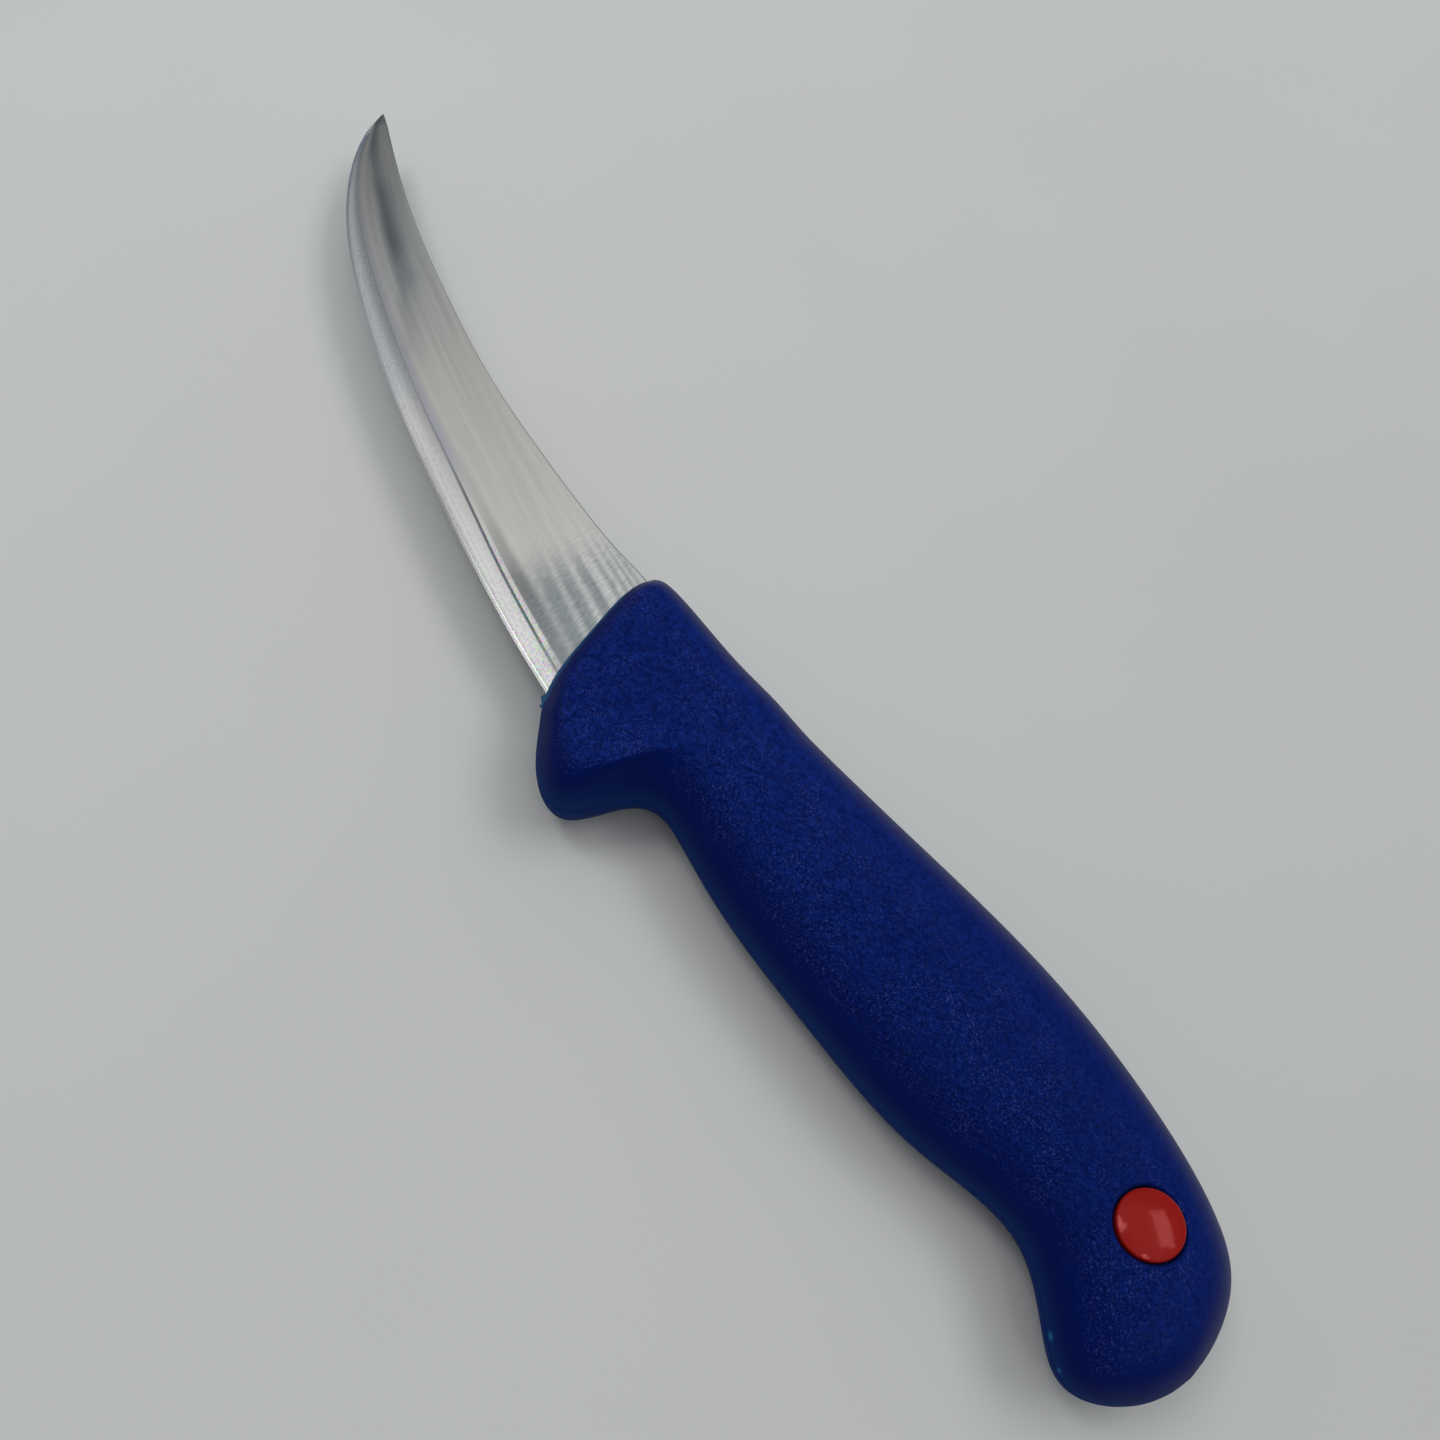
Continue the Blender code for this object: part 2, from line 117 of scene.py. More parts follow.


# Matt emulsion on board: no sheen, a faint mottling about a hand wide, and a painted
# fall-off of light that leaves it paler at the tip's side.
painted_board, tree, out = new_material("painted_board")
place = add(tree, "TexCoord").outputs["Object"]
mottle = add(tree, "TexNoise", {"Vector": place, "Scale": 1.0 / (MOTTLE * MM),
                                "Detail": 3.0}).outputs["Fac"]
# Painted light: paler towards the tip's side, laid over the mottling.
along = add(tree, "SeparateXYZ", {0: place}).outputs[0]
mottle_and_light = add(tree, "MapRange", {"Value": along, "From Min": -0.2, "From Max": 0.2, "To Min": -0.1,
                               "To Max": 0.7}).outputs[0]
mottle_and_light = add(tree, "Math", {0: mottle, 1: 0.4, 2: mottle_and_light}, operation="MULTIPLY_ADD").outputs[0]
grey = add(tree, "Mix", {"Factor": mottle_and_light, 6: linear(TABLE_GREY_SHADED_AND_MOTTLED), 7: linear(TABLE_GREY)},
           data_type="RGBA")
paint = add(tree, "BsdfPrincipled", {"Base Color": grey.outputs[2], "Roughness": 0.75,
                                     "Specular IOR Level": 0.25})
tree.links.new(paint.outputs[0], out.inputs["Surface"])

half = TABLE_SIDE * MM / 2.0
table_mesh = bpy.data.meshes.new("table")
corners = [(-half, -half, 0), (half, -half, 0), (half, half, 0), (-half, half, 0)]
table_mesh.from_pydata(corners, [], [(0, 1, 2, 3)])
new_piece("table", table_mesh, painted_board)


# Handle: polypropylene moulded in one shot round the tang, royal blue, with the grain
# that a spark-eroded mould leaves. Ribs cross it from the spine edge to the belly edge,
# from the butt to the mouth that the blade comes out of.
BUTT_END = (-146.6, -11.0)
HANDLE_RIBS = (                 # spine edge, belly edge, half thickness
    ((-141.7, -23.3), (-143.7, -0.2), 9.6),
    ((-132.3, -29.0), (-134.8, 4.4), 11.2),
    ((-119.0, -31.2), (-119.5, -1.8), 10.4),
    ((-100.0, -31.4), (-100.0, 3.2), 11.6),
    ((-80.0, -29.0), (-78.0, 6.7), 12.0),
    ((-60.0, -25.0), (-57.0, 8.3), 11.6),
    ((-47.0, -22.4), (-42.0, 7.8), 10.8),
    ((-37.0, -20.6), (-33.1, 8.7), 10.4),
    ((-28.5, -19.5), (-29.5, 15.7), 10.3),
    ((-20.0, -18.0), (-26.4, 22.0), 10.2),
    ((-9.6, -16.9), (-20.1, 22.4), 9.8),
    ((0.4, -15.2), (-13.4, 18.5), 9.4),
    ((2.5, -11.4), (-9.0, 15.1), 9.0),
)
HEAD_RISES = (                  # mm from the spine and belly edge to the full half thickness
    (15.0, 12.0),
    (13.0, 8.0),
    (12.0, 7.0),
    (11.0, 7.0),
    (9.0, 7.0),
    (8.0, 7.0),
)
MOUTH_BOW_ANGLE = 20.0          # degrees that the mouth's line leaves its chord by
MOUTH_LIP = 2.8                 # half thickness at the mouth, before the round
MOUTH_RUN = 5.0                 # mm over which the head drops to the mouth
MOUTH_FAN = 2.0                 # ribs over which the rows turn to follow the mouth
SECTION_FULLNESS = 2.1          # power of the oval, 2 for an ellipse
ROW_PULL = 0.58                 # reach of a row's control points, as a share of its rise
LEAST_RISE = 0.2
HANDLE_COLUMNS = 88
RIDGE = 0.07                    # how far the parting line stands proud
RIDGE_HALF_WIDTH = 0.2
RIDGE_REACH = 4.0               # mm of row that the ridge needs to stand at its full height
TINY = 1e-6


def spline(points, at):
    """Natural cubic spline through rows of numbers and its slope, row k at parameter k.

    Each span is a Hermite cubic, and the slopes at the rows solve the tridiagonal
    system that makes the second derivative continuous.
    """
    p = np.asarray(points, float)
    system = 4.0 * np.eye(len(p)) + np.eye(len(p), k=1) + np.eye(len(p), k=-1)
    system[0, 0] = system[-1, -1] = 2.0
    slope = np.linalg.solve(system, 3.0 * (np.vstack((p[1:], p[-1:])) - np.vstack((p[:1], p[:-1]))))
    span = np.clip(np.asarray(at).astype(int), 0, len(p) - 2)
    t = (np.asarray(at) - span)[:, None]
    start, end, leave, arrive = p[span], p[span + 1], slope[span], slope[span + 1]
    value = ((2 * t**3 - 3 * t**2 + 1) * start + (t**3 - 2 * t**2 + t) * leave
             + (3 * t**2 - 2 * t**3) * end + (t**3 - t**2) * arrive)
    rate = ((6 * t**2 - 6 * t) * (start - end) + (3 * t**2 - 4 * t + 1) * leave
            + (3 * t**2 - 2 * t) * arrive)
    return value, rate


def unit(vectors):
    """Vectors along the last axis, made one long."""
    return vectors / np.linalg.norm(vectors, axis=-1, keepdims=True)


def turned(vectors, degrees):
    """Plan vectors turned counter-clockwise."""
    angle = np.radians(degrees)
    x, y = vectors[..., 0], vectors[..., 1]
    return np.stack((x * np.cos(angle) - y * np.sin(angle),
                     x * np.sin(angle) + y * np.cos(angle)), axis=-1)


def rise(share):
    """Quarter of an oval: 0 at the edge, 1 where the side has come up."""
    share = np.clip(share, 0.0, 1.0)
    return (1.0 - (1.0 - share)**SECTION_FULLNESS)**(1.0 / SECTION_FULLNESS)


def handle_surface(rib, columns):
    """Upper half of the handle: rows of points at rib parameters, 0 the butt's end.

    A row is a cubic curve that leaves both edges square to the outline and turns to
    follow the mouth near it. Its height is the half thickness times the rise from each
    edge, less the drop to the lip within MOUTH_RUN of the mouth. The square of the half
    thickness follows the spline, so that the butt closes in a round.
    """
    last = len(HANDLE_RIBS)
    outline = [*[data[1] for data in HANDLE_RIBS][::-1], BUTT_END, *[data[0] for data in HANDLE_RIBS]]
    belly_edge, belly_rate = spline(outline, last - rib)
    spine_edge, spine_rate = spline(outline, last + rib)
    belly_in = turned(unit(belly_rate), 90.0)
    spine_in = turned(unit(spine_rate), 90.0)
    chord = spine_edge - belly_edge
    half_width = np.linalg.norm(chord, axis=1, keepdims=True) / 2.0
    chord[0] = belly_rate[0]
    chord = unit(chord)
    turn = np.clip((rib[:, None] - last + MOUTH_FAN) / MOUTH_FAN, 0.0, 1.0)
    turn = turn * turn * (3.0 - 2.0 * turn)
    from_belly = unit((1 - turn) * belly_in + turn * turned(chord, MOUTH_BOW_ANGLE))
    from_spine = unit((1 - turn) * spine_in + turn * turned(-chord, -MOUTH_BOW_ANGLE))

    def run(side, half_row):
        """Distance over which each row rises from one edge, given half its length."""
        shares = np.ones((last + 1, 1))
        for number, rises in enumerate(HEAD_RISES, start=last + 1 - len(HEAD_RISES)):
            shares[number] = min(rises[side] / np.interp(number, rib, half_row[:, 0]), 1.0)
        return half_row * np.clip(spline(shares, rib)[0], LEAST_RISE, 1.0)

    spine_pull = ROW_PULL * run(0, half_width) * from_spine
    belly_pull = ROW_PULL * run(1, half_width) * from_belly
    t = (1 - np.cos(np.linspace(0, np.pi, columns + 1)))[None, :, None] / 2.0
    plan = ((1 - t)**3 * belly_edge[:, None] + 3 * t * (1 - t)**2 * (belly_edge + belly_pull)[:, None]
            + 3 * t**2 * (1 - t) * (spine_edge + spine_pull)[:, None] + t**3 * spine_edge[:, None])
    step = np.linalg.norm(np.diff(plan, axis=1), axis=2)
    walked = np.hstack((np.zeros((len(rib), 1)), np.cumsum(step, axis=1)))
    left = walked[:, -1:] - walked
    half_row = np.maximum(walked[:, -1:], TINY) / 2.0
    risen = rise(walked / run(1, half_row)) * rise(left / run(0, half_row))
    squares = [[0.0], *([data[2]**2] for data in HANDLE_RIBS)]
    thick = np.sqrt(np.maximum(spline(squares, rib)[0], 0.0))
    mouth_gap = np.full(plan.shape[:2], MOUTH_RUN)
    near = rib > last - 4
    mouth_gap[near] = np.linalg.norm(plan[near][:, :, None] - plan[-1][None, None], axis=3).min(axis=2)
    lip = np.minimum(MOUTH_LIP, thick)
    height = risen * (lip + (thick - lip) * rise(mouth_gap / MOUTH_RUN))
    height[0] = 0.0
    height[:, 0] = height[:, -1] = 0.0
    return plan, height, from_belly, from_spine, walked, left


def mesh_from_rings(name, rings, within=None):
    """Mesh over closed rows of points, each row joined to the next.

    Within names a CAD node: its facets cut the curve by hundredths of a millimetre, and
    the points are held inside its box by as much.
    """
    rows, count = rings.shape[:2]
    points = (rings + plan_origin) * MM
    if within:
        points = np.clip(points, *(np.array(corner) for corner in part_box(within)))
    index = np.arange(rows * count).reshape(rows, count)
    index = np.hstack((index, index[:, :1]))
    quads = np.stack((index[:-1, :-1], index[:-1, 1:], index[1:, 1:], index[1:, :-1]),
                     axis=-1).reshape(-1, 4)
    mesh = bpy.data.meshes.new(name)
    mesh.vertices.add(rows * count)
    mesh.vertices.foreach_set("co", points.astype(np.float32).ravel())
    mesh.loops.add(quads.size)
    mesh.loops.foreach_set("vertex_index", quads.astype(np.int32).ravel())
    mesh.polygons.add(len(quads))
    mesh.polygons.foreach_set("loop_start", np.arange(0, quads.size, 4, dtype=np.int32))
    mesh.update(calc_edges=True)
    return mesh


def close_up(mesh, cap=False):
    """Merge a mesh's doubles, cap its open ends if asked, and turn its faces outwards."""
    bm = bmesh.new()
    bm.from_mesh(mesh)
    bmesh.ops.remove_doubles(bm, verts=bm.verts, dist=2e-6)
    bmesh.ops.dissolve_degenerate(bm, edges=bm.edges, dist=1e-7)
    if cap:
        bmesh.ops.holes_fill(bm, edges=[edge for edge in bm.edges if edge.is_boundary], sides=0)
    bmesh.ops.recalc_face_normals(bm, faces=bm.faces)
    bm.to_mesh(mesh)
    bm.free()


def handle_shell():
    """Closed shell of the handle, with its parting ridge.

    Rings run up the belly side, over the top to the spine side and back underneath,
    which mirrors the top. Next to both edges two more columns make the ridge, and what
    lies inside them is drawn in by the ridge's height, less and less away from the edge.
    """
    last = len(HANDLE_RIBS)
    rib = np.concatenate((0.5 * np.linspace(0.0, 1.0, 26)[:-1]**2, np.linspace(0.5, 1.4, 24)[:-1],
                          np.linspace(1.4, 3.0, 80)[:-1], np.linspace(3.0, last - 1.0, 200)[:-1],
                          last - np.linspace(1.0, 0.0, 34)**2))
    plan, height, from_belly, from_spine, walked, left = handle_surface(rib, HANDLE_COLUMNS)
    size = RIDGE * np.clip(left[:, :1] / RIDGE_REACH, 0.0, 1.0)[:, :, None]
    plan[:, 1:-1] += size * (np.exp(-walked)[:, 1:-1, None] * from_belly[:, None]
                             + np.exp(-left)[:, 1:-1, None] * from_spine[:, None])
    sides = []
    for edge, beside, inward in ((0, 1, from_belly), (-1, -2, from_spine)):
        crest = plan[:, edge] + 0.15 * size[:, 0] * inward
        foot = plan[:, edge] + 0.95 * size[:, 0] * inward
        crest_height = np.minimum(0.55 * RIDGE_HALF_WIDTH, 0.3 * height[:, beside])
        foot_height = np.minimum(RIDGE_HALF_WIDTH, 0.6 * height[:, beside])
        sides.append((np.dstack((crest[:, None], crest_height[:, None])),
                      np.dstack((foot[:, None], foot_height[:, None]))))
    top = np.dstack((plan, height))
    (belly_crest, belly_foot), (spine_crest, spine_foot) = sides
    top = np.hstack((top[:, :1], belly_crest, belly_foot, top[:, 1:-1], spine_foot, spine_crest,
                     top[:, -1:]))
    wall = np.stack([top[-1] * (1.0, 1.0, share) for share in (0.75, 0.5, 0.25, 0.0)])
    top = np.vstack((top, wall))
    under = top[:, -2:0:-1] * (1.0, 1.0, -1.0)
    shell = mesh_from_rings("knife_handle", np.hstack((top, under)), within="handle")
    close_up(shell)
    return shell


# Blade stations: spine, cutting edge and width of the edge bevel. The first is inside
# the handle and the last is the tip. The handle's cavity is made from them too.
BLADE_STATIONS = (
    ((-9.0, -14.0), (-17.0, 13.3), 3.4),
    ((4.0, -13.2), (-4.0, 13.1), 3.6),
    ((12.0, -12.05), (6.0, 12.8), 3.9),
    ((24.0, -11.2), (18.0, 12.0), 4.2),
    ((41.0, -10.8), (35.0, 10.4), 4.9),
    ((58.0, -11.2), (53.0, 7.9), 4.6),
    ((76.0, -13.2), (71.0, 4.8), 4.6),
    ((93.0, -15.9), (89.0, 0.4), 4.1),
    ((107.0, -19.1), (104.5, -5.3), 3.1),
    ((118.0, -22.3), (117.0, -12.7), 2.1),
    ((124.3, -24.3), (124.6, -19.8), 1.1),
    ((127.7, -25.2), (127.8, -24.9), 0.1),
)
HEEL_SPINE_THICKNESS = 2.0
HEEL_SHOULDER_THICKNESS = 1.1
TIP_SPINE_THICKNESS = 1.2
TIP_POINT_THICKNESS = 0.2
TIP_TAPER = 0.24                # mm of thickness gained for each mm of width at the tip
MICRO_BEVEL_WIDTH = 0.6
MICRO_BEVEL_THICKNESS = 0.4
MICRO_BEVEL_LIMIT = 0.8         # share of the shoulder's thickness that it may have
EDGE_THICKNESS = 0.04
SPINE_ROUND = 0.3
PLATE_THICKNESS = 2.2
ROOT_FRONT = ((-1.5, -11.8), (-12.5, 12.2))
ROOT_DEPTH = 7.0
TANG_START = (-22.0, -4.8)
TANG_FALL_ANGLE = 6.8
TANG_LENGTH = 76.0
TANG_FRONT_WIDTH = 13.5
TANG_END_WIDTH = 9.0
PLATE_CORNER = 3.0
TANG_HOLE_RADIUS = 3.0
TANG_HOLE_FIRST = 12.0
TANG_HOLE_PITCH = 26.0
MOULD_CLEARANCE = 0.3


def face_plane():
    """Half thickness of the blade's flat sides as a * x + b * y + c."""
    heel_spine, heel_edge, bevel = BLADE_STATIONS[1]
    tip_spine = BLADE_STATIONS[-3][0]
    places = np.array([[*heel_spine, 1.0], [heel_edge[0], heel_edge[1] - bevel, 1.0],
                       [*tip_spine, 1.0]])
    thick = np.array((HEEL_SPINE_THICKNESS, HEEL_SHOULDER_THICKNESS, TIP_SPINE_THICKNESS))
    return np.linalg.solve(places, thick / 2.0)


def blade_rings(at, clearance=0.0, fine=False):
    """Sections of the blade at station parameters, and each point's place on the blade.

    Upper points run from the spine to the cutting edge: a flat in the taper plane, a
    wide bevel and a narrow honed one, thinned near the tip. Fine sections have more
    columns and a rounded spine. The lower side mirrors the upper one.
    """
    spine = spline([station[0] for station in BLADE_STATIONS], at)[0]
    edge = spline([station[1] for station in BLADE_STATIONS], at)[0]
    bevel = spline([[station[2]] for station in BLADE_STATIONS], at)[0]
    width = np.linalg.norm(edge - spine, axis=1, keepdims=True)
    across = (edge - spine) / width
    micro = np.minimum(MICRO_BEVEL_WIDTH, bevel / 2.0)
    a, b, c = face_plane()
    limit = (TIP_POINT_THICKNESS + TIP_TAPER * width) / 2.0
    shoulder = edge - bevel * across
    at_spine = np.minimum(a * spine[:, :1] + b * spine[:, 1:] + c, limit)
    at_shoulder = np.minimum(a * shoulder[:, :1] + b * shoulder[:, 1:] + c, limit)
    honed = np.minimum(MICRO_BEVEL_THICKNESS / 2.0, at_shoulder * MICRO_BEVEL_LIMIT)
    keen = np.full_like(honed, EDGE_THICKNESS / 2.0)
    corner_v = np.hstack((np.zeros_like(width), width - bevel, width - micro, width))
    corner_h = np.hstack((at_spine, at_shoulder, honed, keen))
    if not fine:
        share = np.arange(4.0)
        v = corner_v + clearance * np.array((-1.0, 0.0, 0.0, 1.0))
        half = corner_h
    else:
        share = np.concatenate((np.linspace(0.0, 1.0, 45)[:-1], (0.998, 1.0, 1.012),
                                np.linspace(1.0, 2.0, 15)[1:], np.linspace(2.0, 3.0, 4)[1:]))
        base = np.clip(share.astype(int), 0, 2)
        frac = share - base
        v = corner_v[:, base] * (1 - frac) + corner_v[:, base + 1] * frac
        half = corner_h[:, base] * (1 - frac) + corner_h[:, base + 1] * frac
        radius = np.minimum(SPINE_ROUND, 0.6 * at_spine)
        angle = np.linspace(0.0, np.pi / 2.0, 6)[None, :-1]
        round_v = radius * (1 - np.cos(angle))
        round_h = at_spine - radius + radius * np.sin(angle)
        keep = np.maximum(v[:, 1:], radius * 1.05)
        v = np.hstack((round_v, radius, keep))
        half = np.hstack((round_h, half[:, :1], half[:, 1:]))
        share = np.concatenate((np.zeros(6), share[1:]))
    plan = spine[:, None] + v[:, :, None] * across[:, None]
    half = half + clearance
    upper = np.dstack((plan, half))
    lower = np.dstack((plan, -half))[:, ::-1]
    middle = (spine[:, :1] + edge[:, :1]) / 2.0
    along = np.broadcast_to(middle, v.shape)
    share = np.broadcast_to(share, v.shape)
    where = np.dstack((np.hstack((along, along[:, ::-1])), np.hstack((share, share[:, ::-1]))))
    return np.concatenate((upper, lower), axis=1), where


def plate_mesh(name, clearance):
    """Root and tang in plan, grown by the clearance, as one flat face."""
    back = turned(np.array((-1.0, 0.0)), TANG_FALL_ANGLE)
    side = turned(np.array((0.0, 1.0)), TANG_FALL_ANGLE)
    start = np.array(TANG_START)
    end = start + TANG_LENGTH * back
    spine_front, edge_front = (np.array(point) for point in ROOT_FRONT)
    corners = np.array((
        spine_front, edge_front, edge_front + ROOT_DEPTH * back,
        start + side * TANG_FRONT_WIDTH / 2.0, end + side * TANG_END_WIDTH / 2.0,
        end - side * TANG_END_WIDTH / 2.0, start - side * TANG_FRONT_WIDTH / 2.0,
        spine_front + ROOT_DEPTH * back))
    ahead = unit(np.roll(corners, -1, axis=0) - corners)
    behind = np.roll(ahead, 1, axis=0)
    normals = turned(ahead, -90.0) + turned(behind, -90.0)
    corners = corners + clearance * normals / (1.0 + np.sum(ahead * behind, axis=1))[:, None]
    points = (np.column_stack((corners, np.zeros(len(corners)))) + plan_origin) * MM
    mesh = bpy.data.meshes.new(name)
    mesh.from_pydata(points.tolist(), [], [tuple(range(len(points)))])
    return mesh


def carve(piece, cutter, operation="DIFFERENCE"):
    """Exact Boolean between a piece and a cutter."""
    modifier = piece.modifiers.new(cutter.name, "BOOLEAN")
    modifier.operation = operation
    modifier.solver = "EXACT"
    modifier.object = cutter


def settle(piece, *spent):
    """Apply a piece's modifiers and take away what they used."""
    done = bpy.data.meshes.new_from_object(piece.evaluated_get(bpy.context.evaluated_depsgraph_get()))
    piece.modifiers.clear()
    piece.data = done
    for each in spent:
        bpy.data.objects.remove(each, do_unlink=True)


def plate(name, clearance):
    """Root and tang as a plate with rounded corners and three holes."""
    made = new_piece(name, plate_mesh(name, clearance))
    rounding = made.modifiers.new("corners", "BEVEL")
    rounding.affect = "VERTICES"
    rounding.width = PLATE_CORNER * MM
    rounding.segments = 6
    rounding.limit_method = "NONE"
    thicken = made.modifiers.new("thickness", "SOLIDIFY")
    thicken.thickness = (PLATE_THICKNESS + 2.0 * clearance) * MM
    thicken.offset = 0.0
    back = turned(np.array((-1.0, 0.0)), TANG_FALL_ANGLE)
    drills = []
    for number in range(3):
        x, y = np.array(TANG_START) + (TANG_HOLE_FIRST + number * TANG_HOLE_PITCH) * back
        bm = bmesh.new()
        bmesh.ops.create_cone(
            bm, cap_ends=True, segments=32, depth=PLATE_THICKNESS * 3.0 * MM,
            radius1=(TANG_HOLE_RADIUS - clearance) * MM, radius2=(TANG_HOLE_RADIUS - clearance) * MM,
            matrix=Matrix.Translation(Vector((np.array((x, y, 0.0)) + plan_origin) * MM)))
        mesh = bpy.data.meshes.new("drill")
        bm.to_mesh(mesh)
        bm.free()
        drills.append(new_piece(f"{name}_drill_{number}", mesh))
        carve(made, drills[-1])
    settle(made, *drills)
    return made


# The plug's seat on the handle, and the profile of the socket moulded for it.
PLUG_PLACE = (-126.5, -16.05)
PLUG_RADIUS = 5.1
PLUG_DOME = 0.9
PLUG_RIM_DEPTH = 0.25
PLUG_HEAD_THICKNESS = 1.6
PLUG_SPIGOT_RADIUS = 3.8
PLUG_SPIGOT_LENGTH = 4.5
PLUG_CLEARANCE = 0.3
SOCKET_ROUND = 0.6              # radius of the rim moulded round the socket
SOCKET_ROLL = 66.0              # degrees that its arc turns through before it meets the skin


def plug_seat():
    """Place of the plug's rim and the direction it faces, on the handle's skin."""
    plan, height = handle_surface(np.arange(len(HANDLE_RIBS) * 5 + 1) / 5.0, 20)[:2]
    points = np.dstack((plan, height))
    row, column = np.unravel_index(np.argmin(np.linalg.norm(plan - PLUG_PLACE, axis=2)), height.shape)
    along = points[row + 1, column] - points[row - 1, column]
    across = points[row, column + 1] - points[row, column - 1]
    normal = unit(np.cross(across, along))
    normal *= np.sign(normal[2])
    near = points[row, column]
    offset = np.array(PLUG_PLACE) - near[:2]
    skin = np.array((*PLUG_PLACE, near[2] - float(offset @ normal[:2]) / normal[2]))
    return skin - PLUG_RIM_DEPTH * normal, normal


def turn_up(name, profile, sides, on_skin=slice(0, 0)):
    """Solid turned round the plug's axis from a half profile that runs down its side.

    Points of the profile in on_skin have their height counted from the handle's skin,
    which is a cubic in the two distances from the axis, fitted to the skin nearby.
    """
    seat, facing = plug_seat()
    side = unit(np.cross(facing, (0.0, 1.0, 0.0)))
    other = np.cross(facing, side)
    radius, height = np.array(profile).T
    angle = np.linspace(0.0, 2.0 * np.pi, sides, endpoint=False)[None, :]
    away = radius[:, None] * np.cos(angle)
    aside = radius[:, None] * np.sin(angle)
    height = np.repeat(height[:, None], sides, axis=1)
    plan, skin = handle_surface(np.linspace(0.8, 3.4, 80), 80)[:2]
    near = np.dstack((plan, skin)).reshape(-1, 3) - seat
    near = near[np.linalg.norm(near[:, :2], axis=1) < PLUG_RADIUS + 2.0]
    powers = [(i, j) for i in range(4) for j in range(4 - i)]
    terms = np.stack([(near @ side)**i * (near @ other)**j for i, j in powers], axis=-1)
    fit = np.linalg.lstsq(terms, near @ facing, rcond=None)[0]
    height[on_skin] += sum(k * away[on_skin]**i * aside[on_skin]**j for k, (i, j) in zip(fit, powers))
    rings = seat + height[..., None] * facing + away[..., None] * side + aside[..., None] * other
    mesh = mesh_from_rings(name, rings)
    close_up(mesh)
    return mesh


# Moulded polypropylene with a spark-eroded grain: deep blue through and through, a soft
# broad sheen, and tiny painted glints where the grain on the broad sides stands up.
GRAIN = 1.0                     # mm between the grain's bumps
GLINT = 1.3                     # mm between the larger painted glints
FINE_GLINT = 0.34                     # mm, the fine painted glints between them
CLOUD = 8.33                    # mm between the patches with more painted glints
blue_polypropylene, tree, out = new_material("moulded_polypropylene_blue")
place = add(tree, "TexCoord").outputs["Object"]
peel = add(tree, "TexNoise", {"Vector": place, "Scale": 1.0 / (GRAIN * MM), "Detail": 2.0,
                              "Roughness": 0.5, "Distortion": 1.0}).outputs["Fac"]
cloud = add(tree, "TexNoise", {"Vector": place, "Scale": 1.0 / (CLOUD * MM),
                               "Detail": 3.0}).outputs["Fac"]
fine_grain = add(tree, "TexNoise", {"Vector": place, "Scale": 1.0 / (FINE_GLINT * MM),
                                    "Detail": 1.0}).outputs["Fac"]
cells = add(tree, "TexVoronoi", {"Vector": place, "Scale": 1.0 / (GLINT * MM), "Randomness": 1.0})

# How flat the skin lies, then tipped a little to the spine side and to the belly side.
skin_normal = add(tree, "NewGeometry").outputs["Normal"]
skin_way = add(tree, "SeparateXYZ", {0: skin_normal}).outputs
flatness = add(tree, "Math", {0: skin_way[2]}, operation="ABSOLUTE").outputs[0]
spine_lean = add(tree, "Math", {0: skin_way[1], 1: -0.12, 2: flatness},
                 operation="MULTIPLY_ADD").outputs[0]
belly_lean = add(tree, "Math", {0: skin_way[1], 1: 0.25, 2: flatness},
                 operation="MULTIPLY_ADD").outputs[0]

# Painted glints for the grain's highlights: larger ones in the cells and fine ones
# between them, on the broad sides and in patches.
cell_glints = add(tree, "MapRange", {"Value": cells.outputs["Distance"], "From Min": 0.05, "From Max": 0.17,
                               "To Min": 1.0, "To Max": 0.0},
            interpolation_type="SMOOTHSTEP").outputs[0]
fine_glints = add(tree, "MapRange", {"Value": fine_grain, "From Min": 0.55, "From Max": 0.73, "To Min": 0.0,
                              "To Max": 0.8}).outputs[0]
broadside = add(tree, "MapRange", {"Value": belly_lean, "From Min": 0.78, "From Max": 1.0,
                                   "To Min": 0.12, "To Max": 1.0},
                interpolation_type="SMOOTHSTEP").outputs[0]
clear = add(tree, "MapRange", {"Value": cloud, "From Min": 0.42, "From Max": 0.6, "To Min": 0.35,
                               "To Max": 1.0}).outputs[0]
painted_glints = add(tree, "Math", {0: cell_glints, 1: fine_glints}, operation="MAXIMUM").outputs[0]
for share in (broadside, clear, 0.36):
    painted_glints = add(tree, "Math", {0: painted_glints, 1: share}, operation="MULTIPLY").outputs[0]

# Painted light: the grain's bumps are painted paler on the broad sides that lean to the
# spine, where the lamps fall, and more so towards the guard; the steep skin is painted
# greener for the sheen that it shows at grazing.
shade = add(tree, "MapRange", {"Value": peel, "From Min": 0.36, "From Max": 0.64, "To Min": 0.15,
                               "To Max": 1.0}, interpolation_type="SMOOTHSTEP").outputs[0]
lit_side = add(tree, "MapRange", {"Value": spine_lean, "From Min": 0.72, "From Max": 0.96},
             interpolation_type="SMOOTHSTEP").outputs[0]
lengthwise = add(tree, "SeparateXYZ", {0: place}).outputs[0]
lit_towards_guard = add(tree, "MapRange", {"Value": lengthwise, "From Min": -0.09, "From Max": -0.03,
                                  "To Min": 0.6, "To Max": 1.0}).outputs[0]
# Painted light on the grain's bumps, on the lit side and more towards the guard.
painted_lit_grain = shade
for share in (lit_side, lit_towards_guard):
    painted_lit_grain = add(tree, "Math", {0: painted_lit_grain, 1: share}, operation="MULTIPLY").outputs[0]
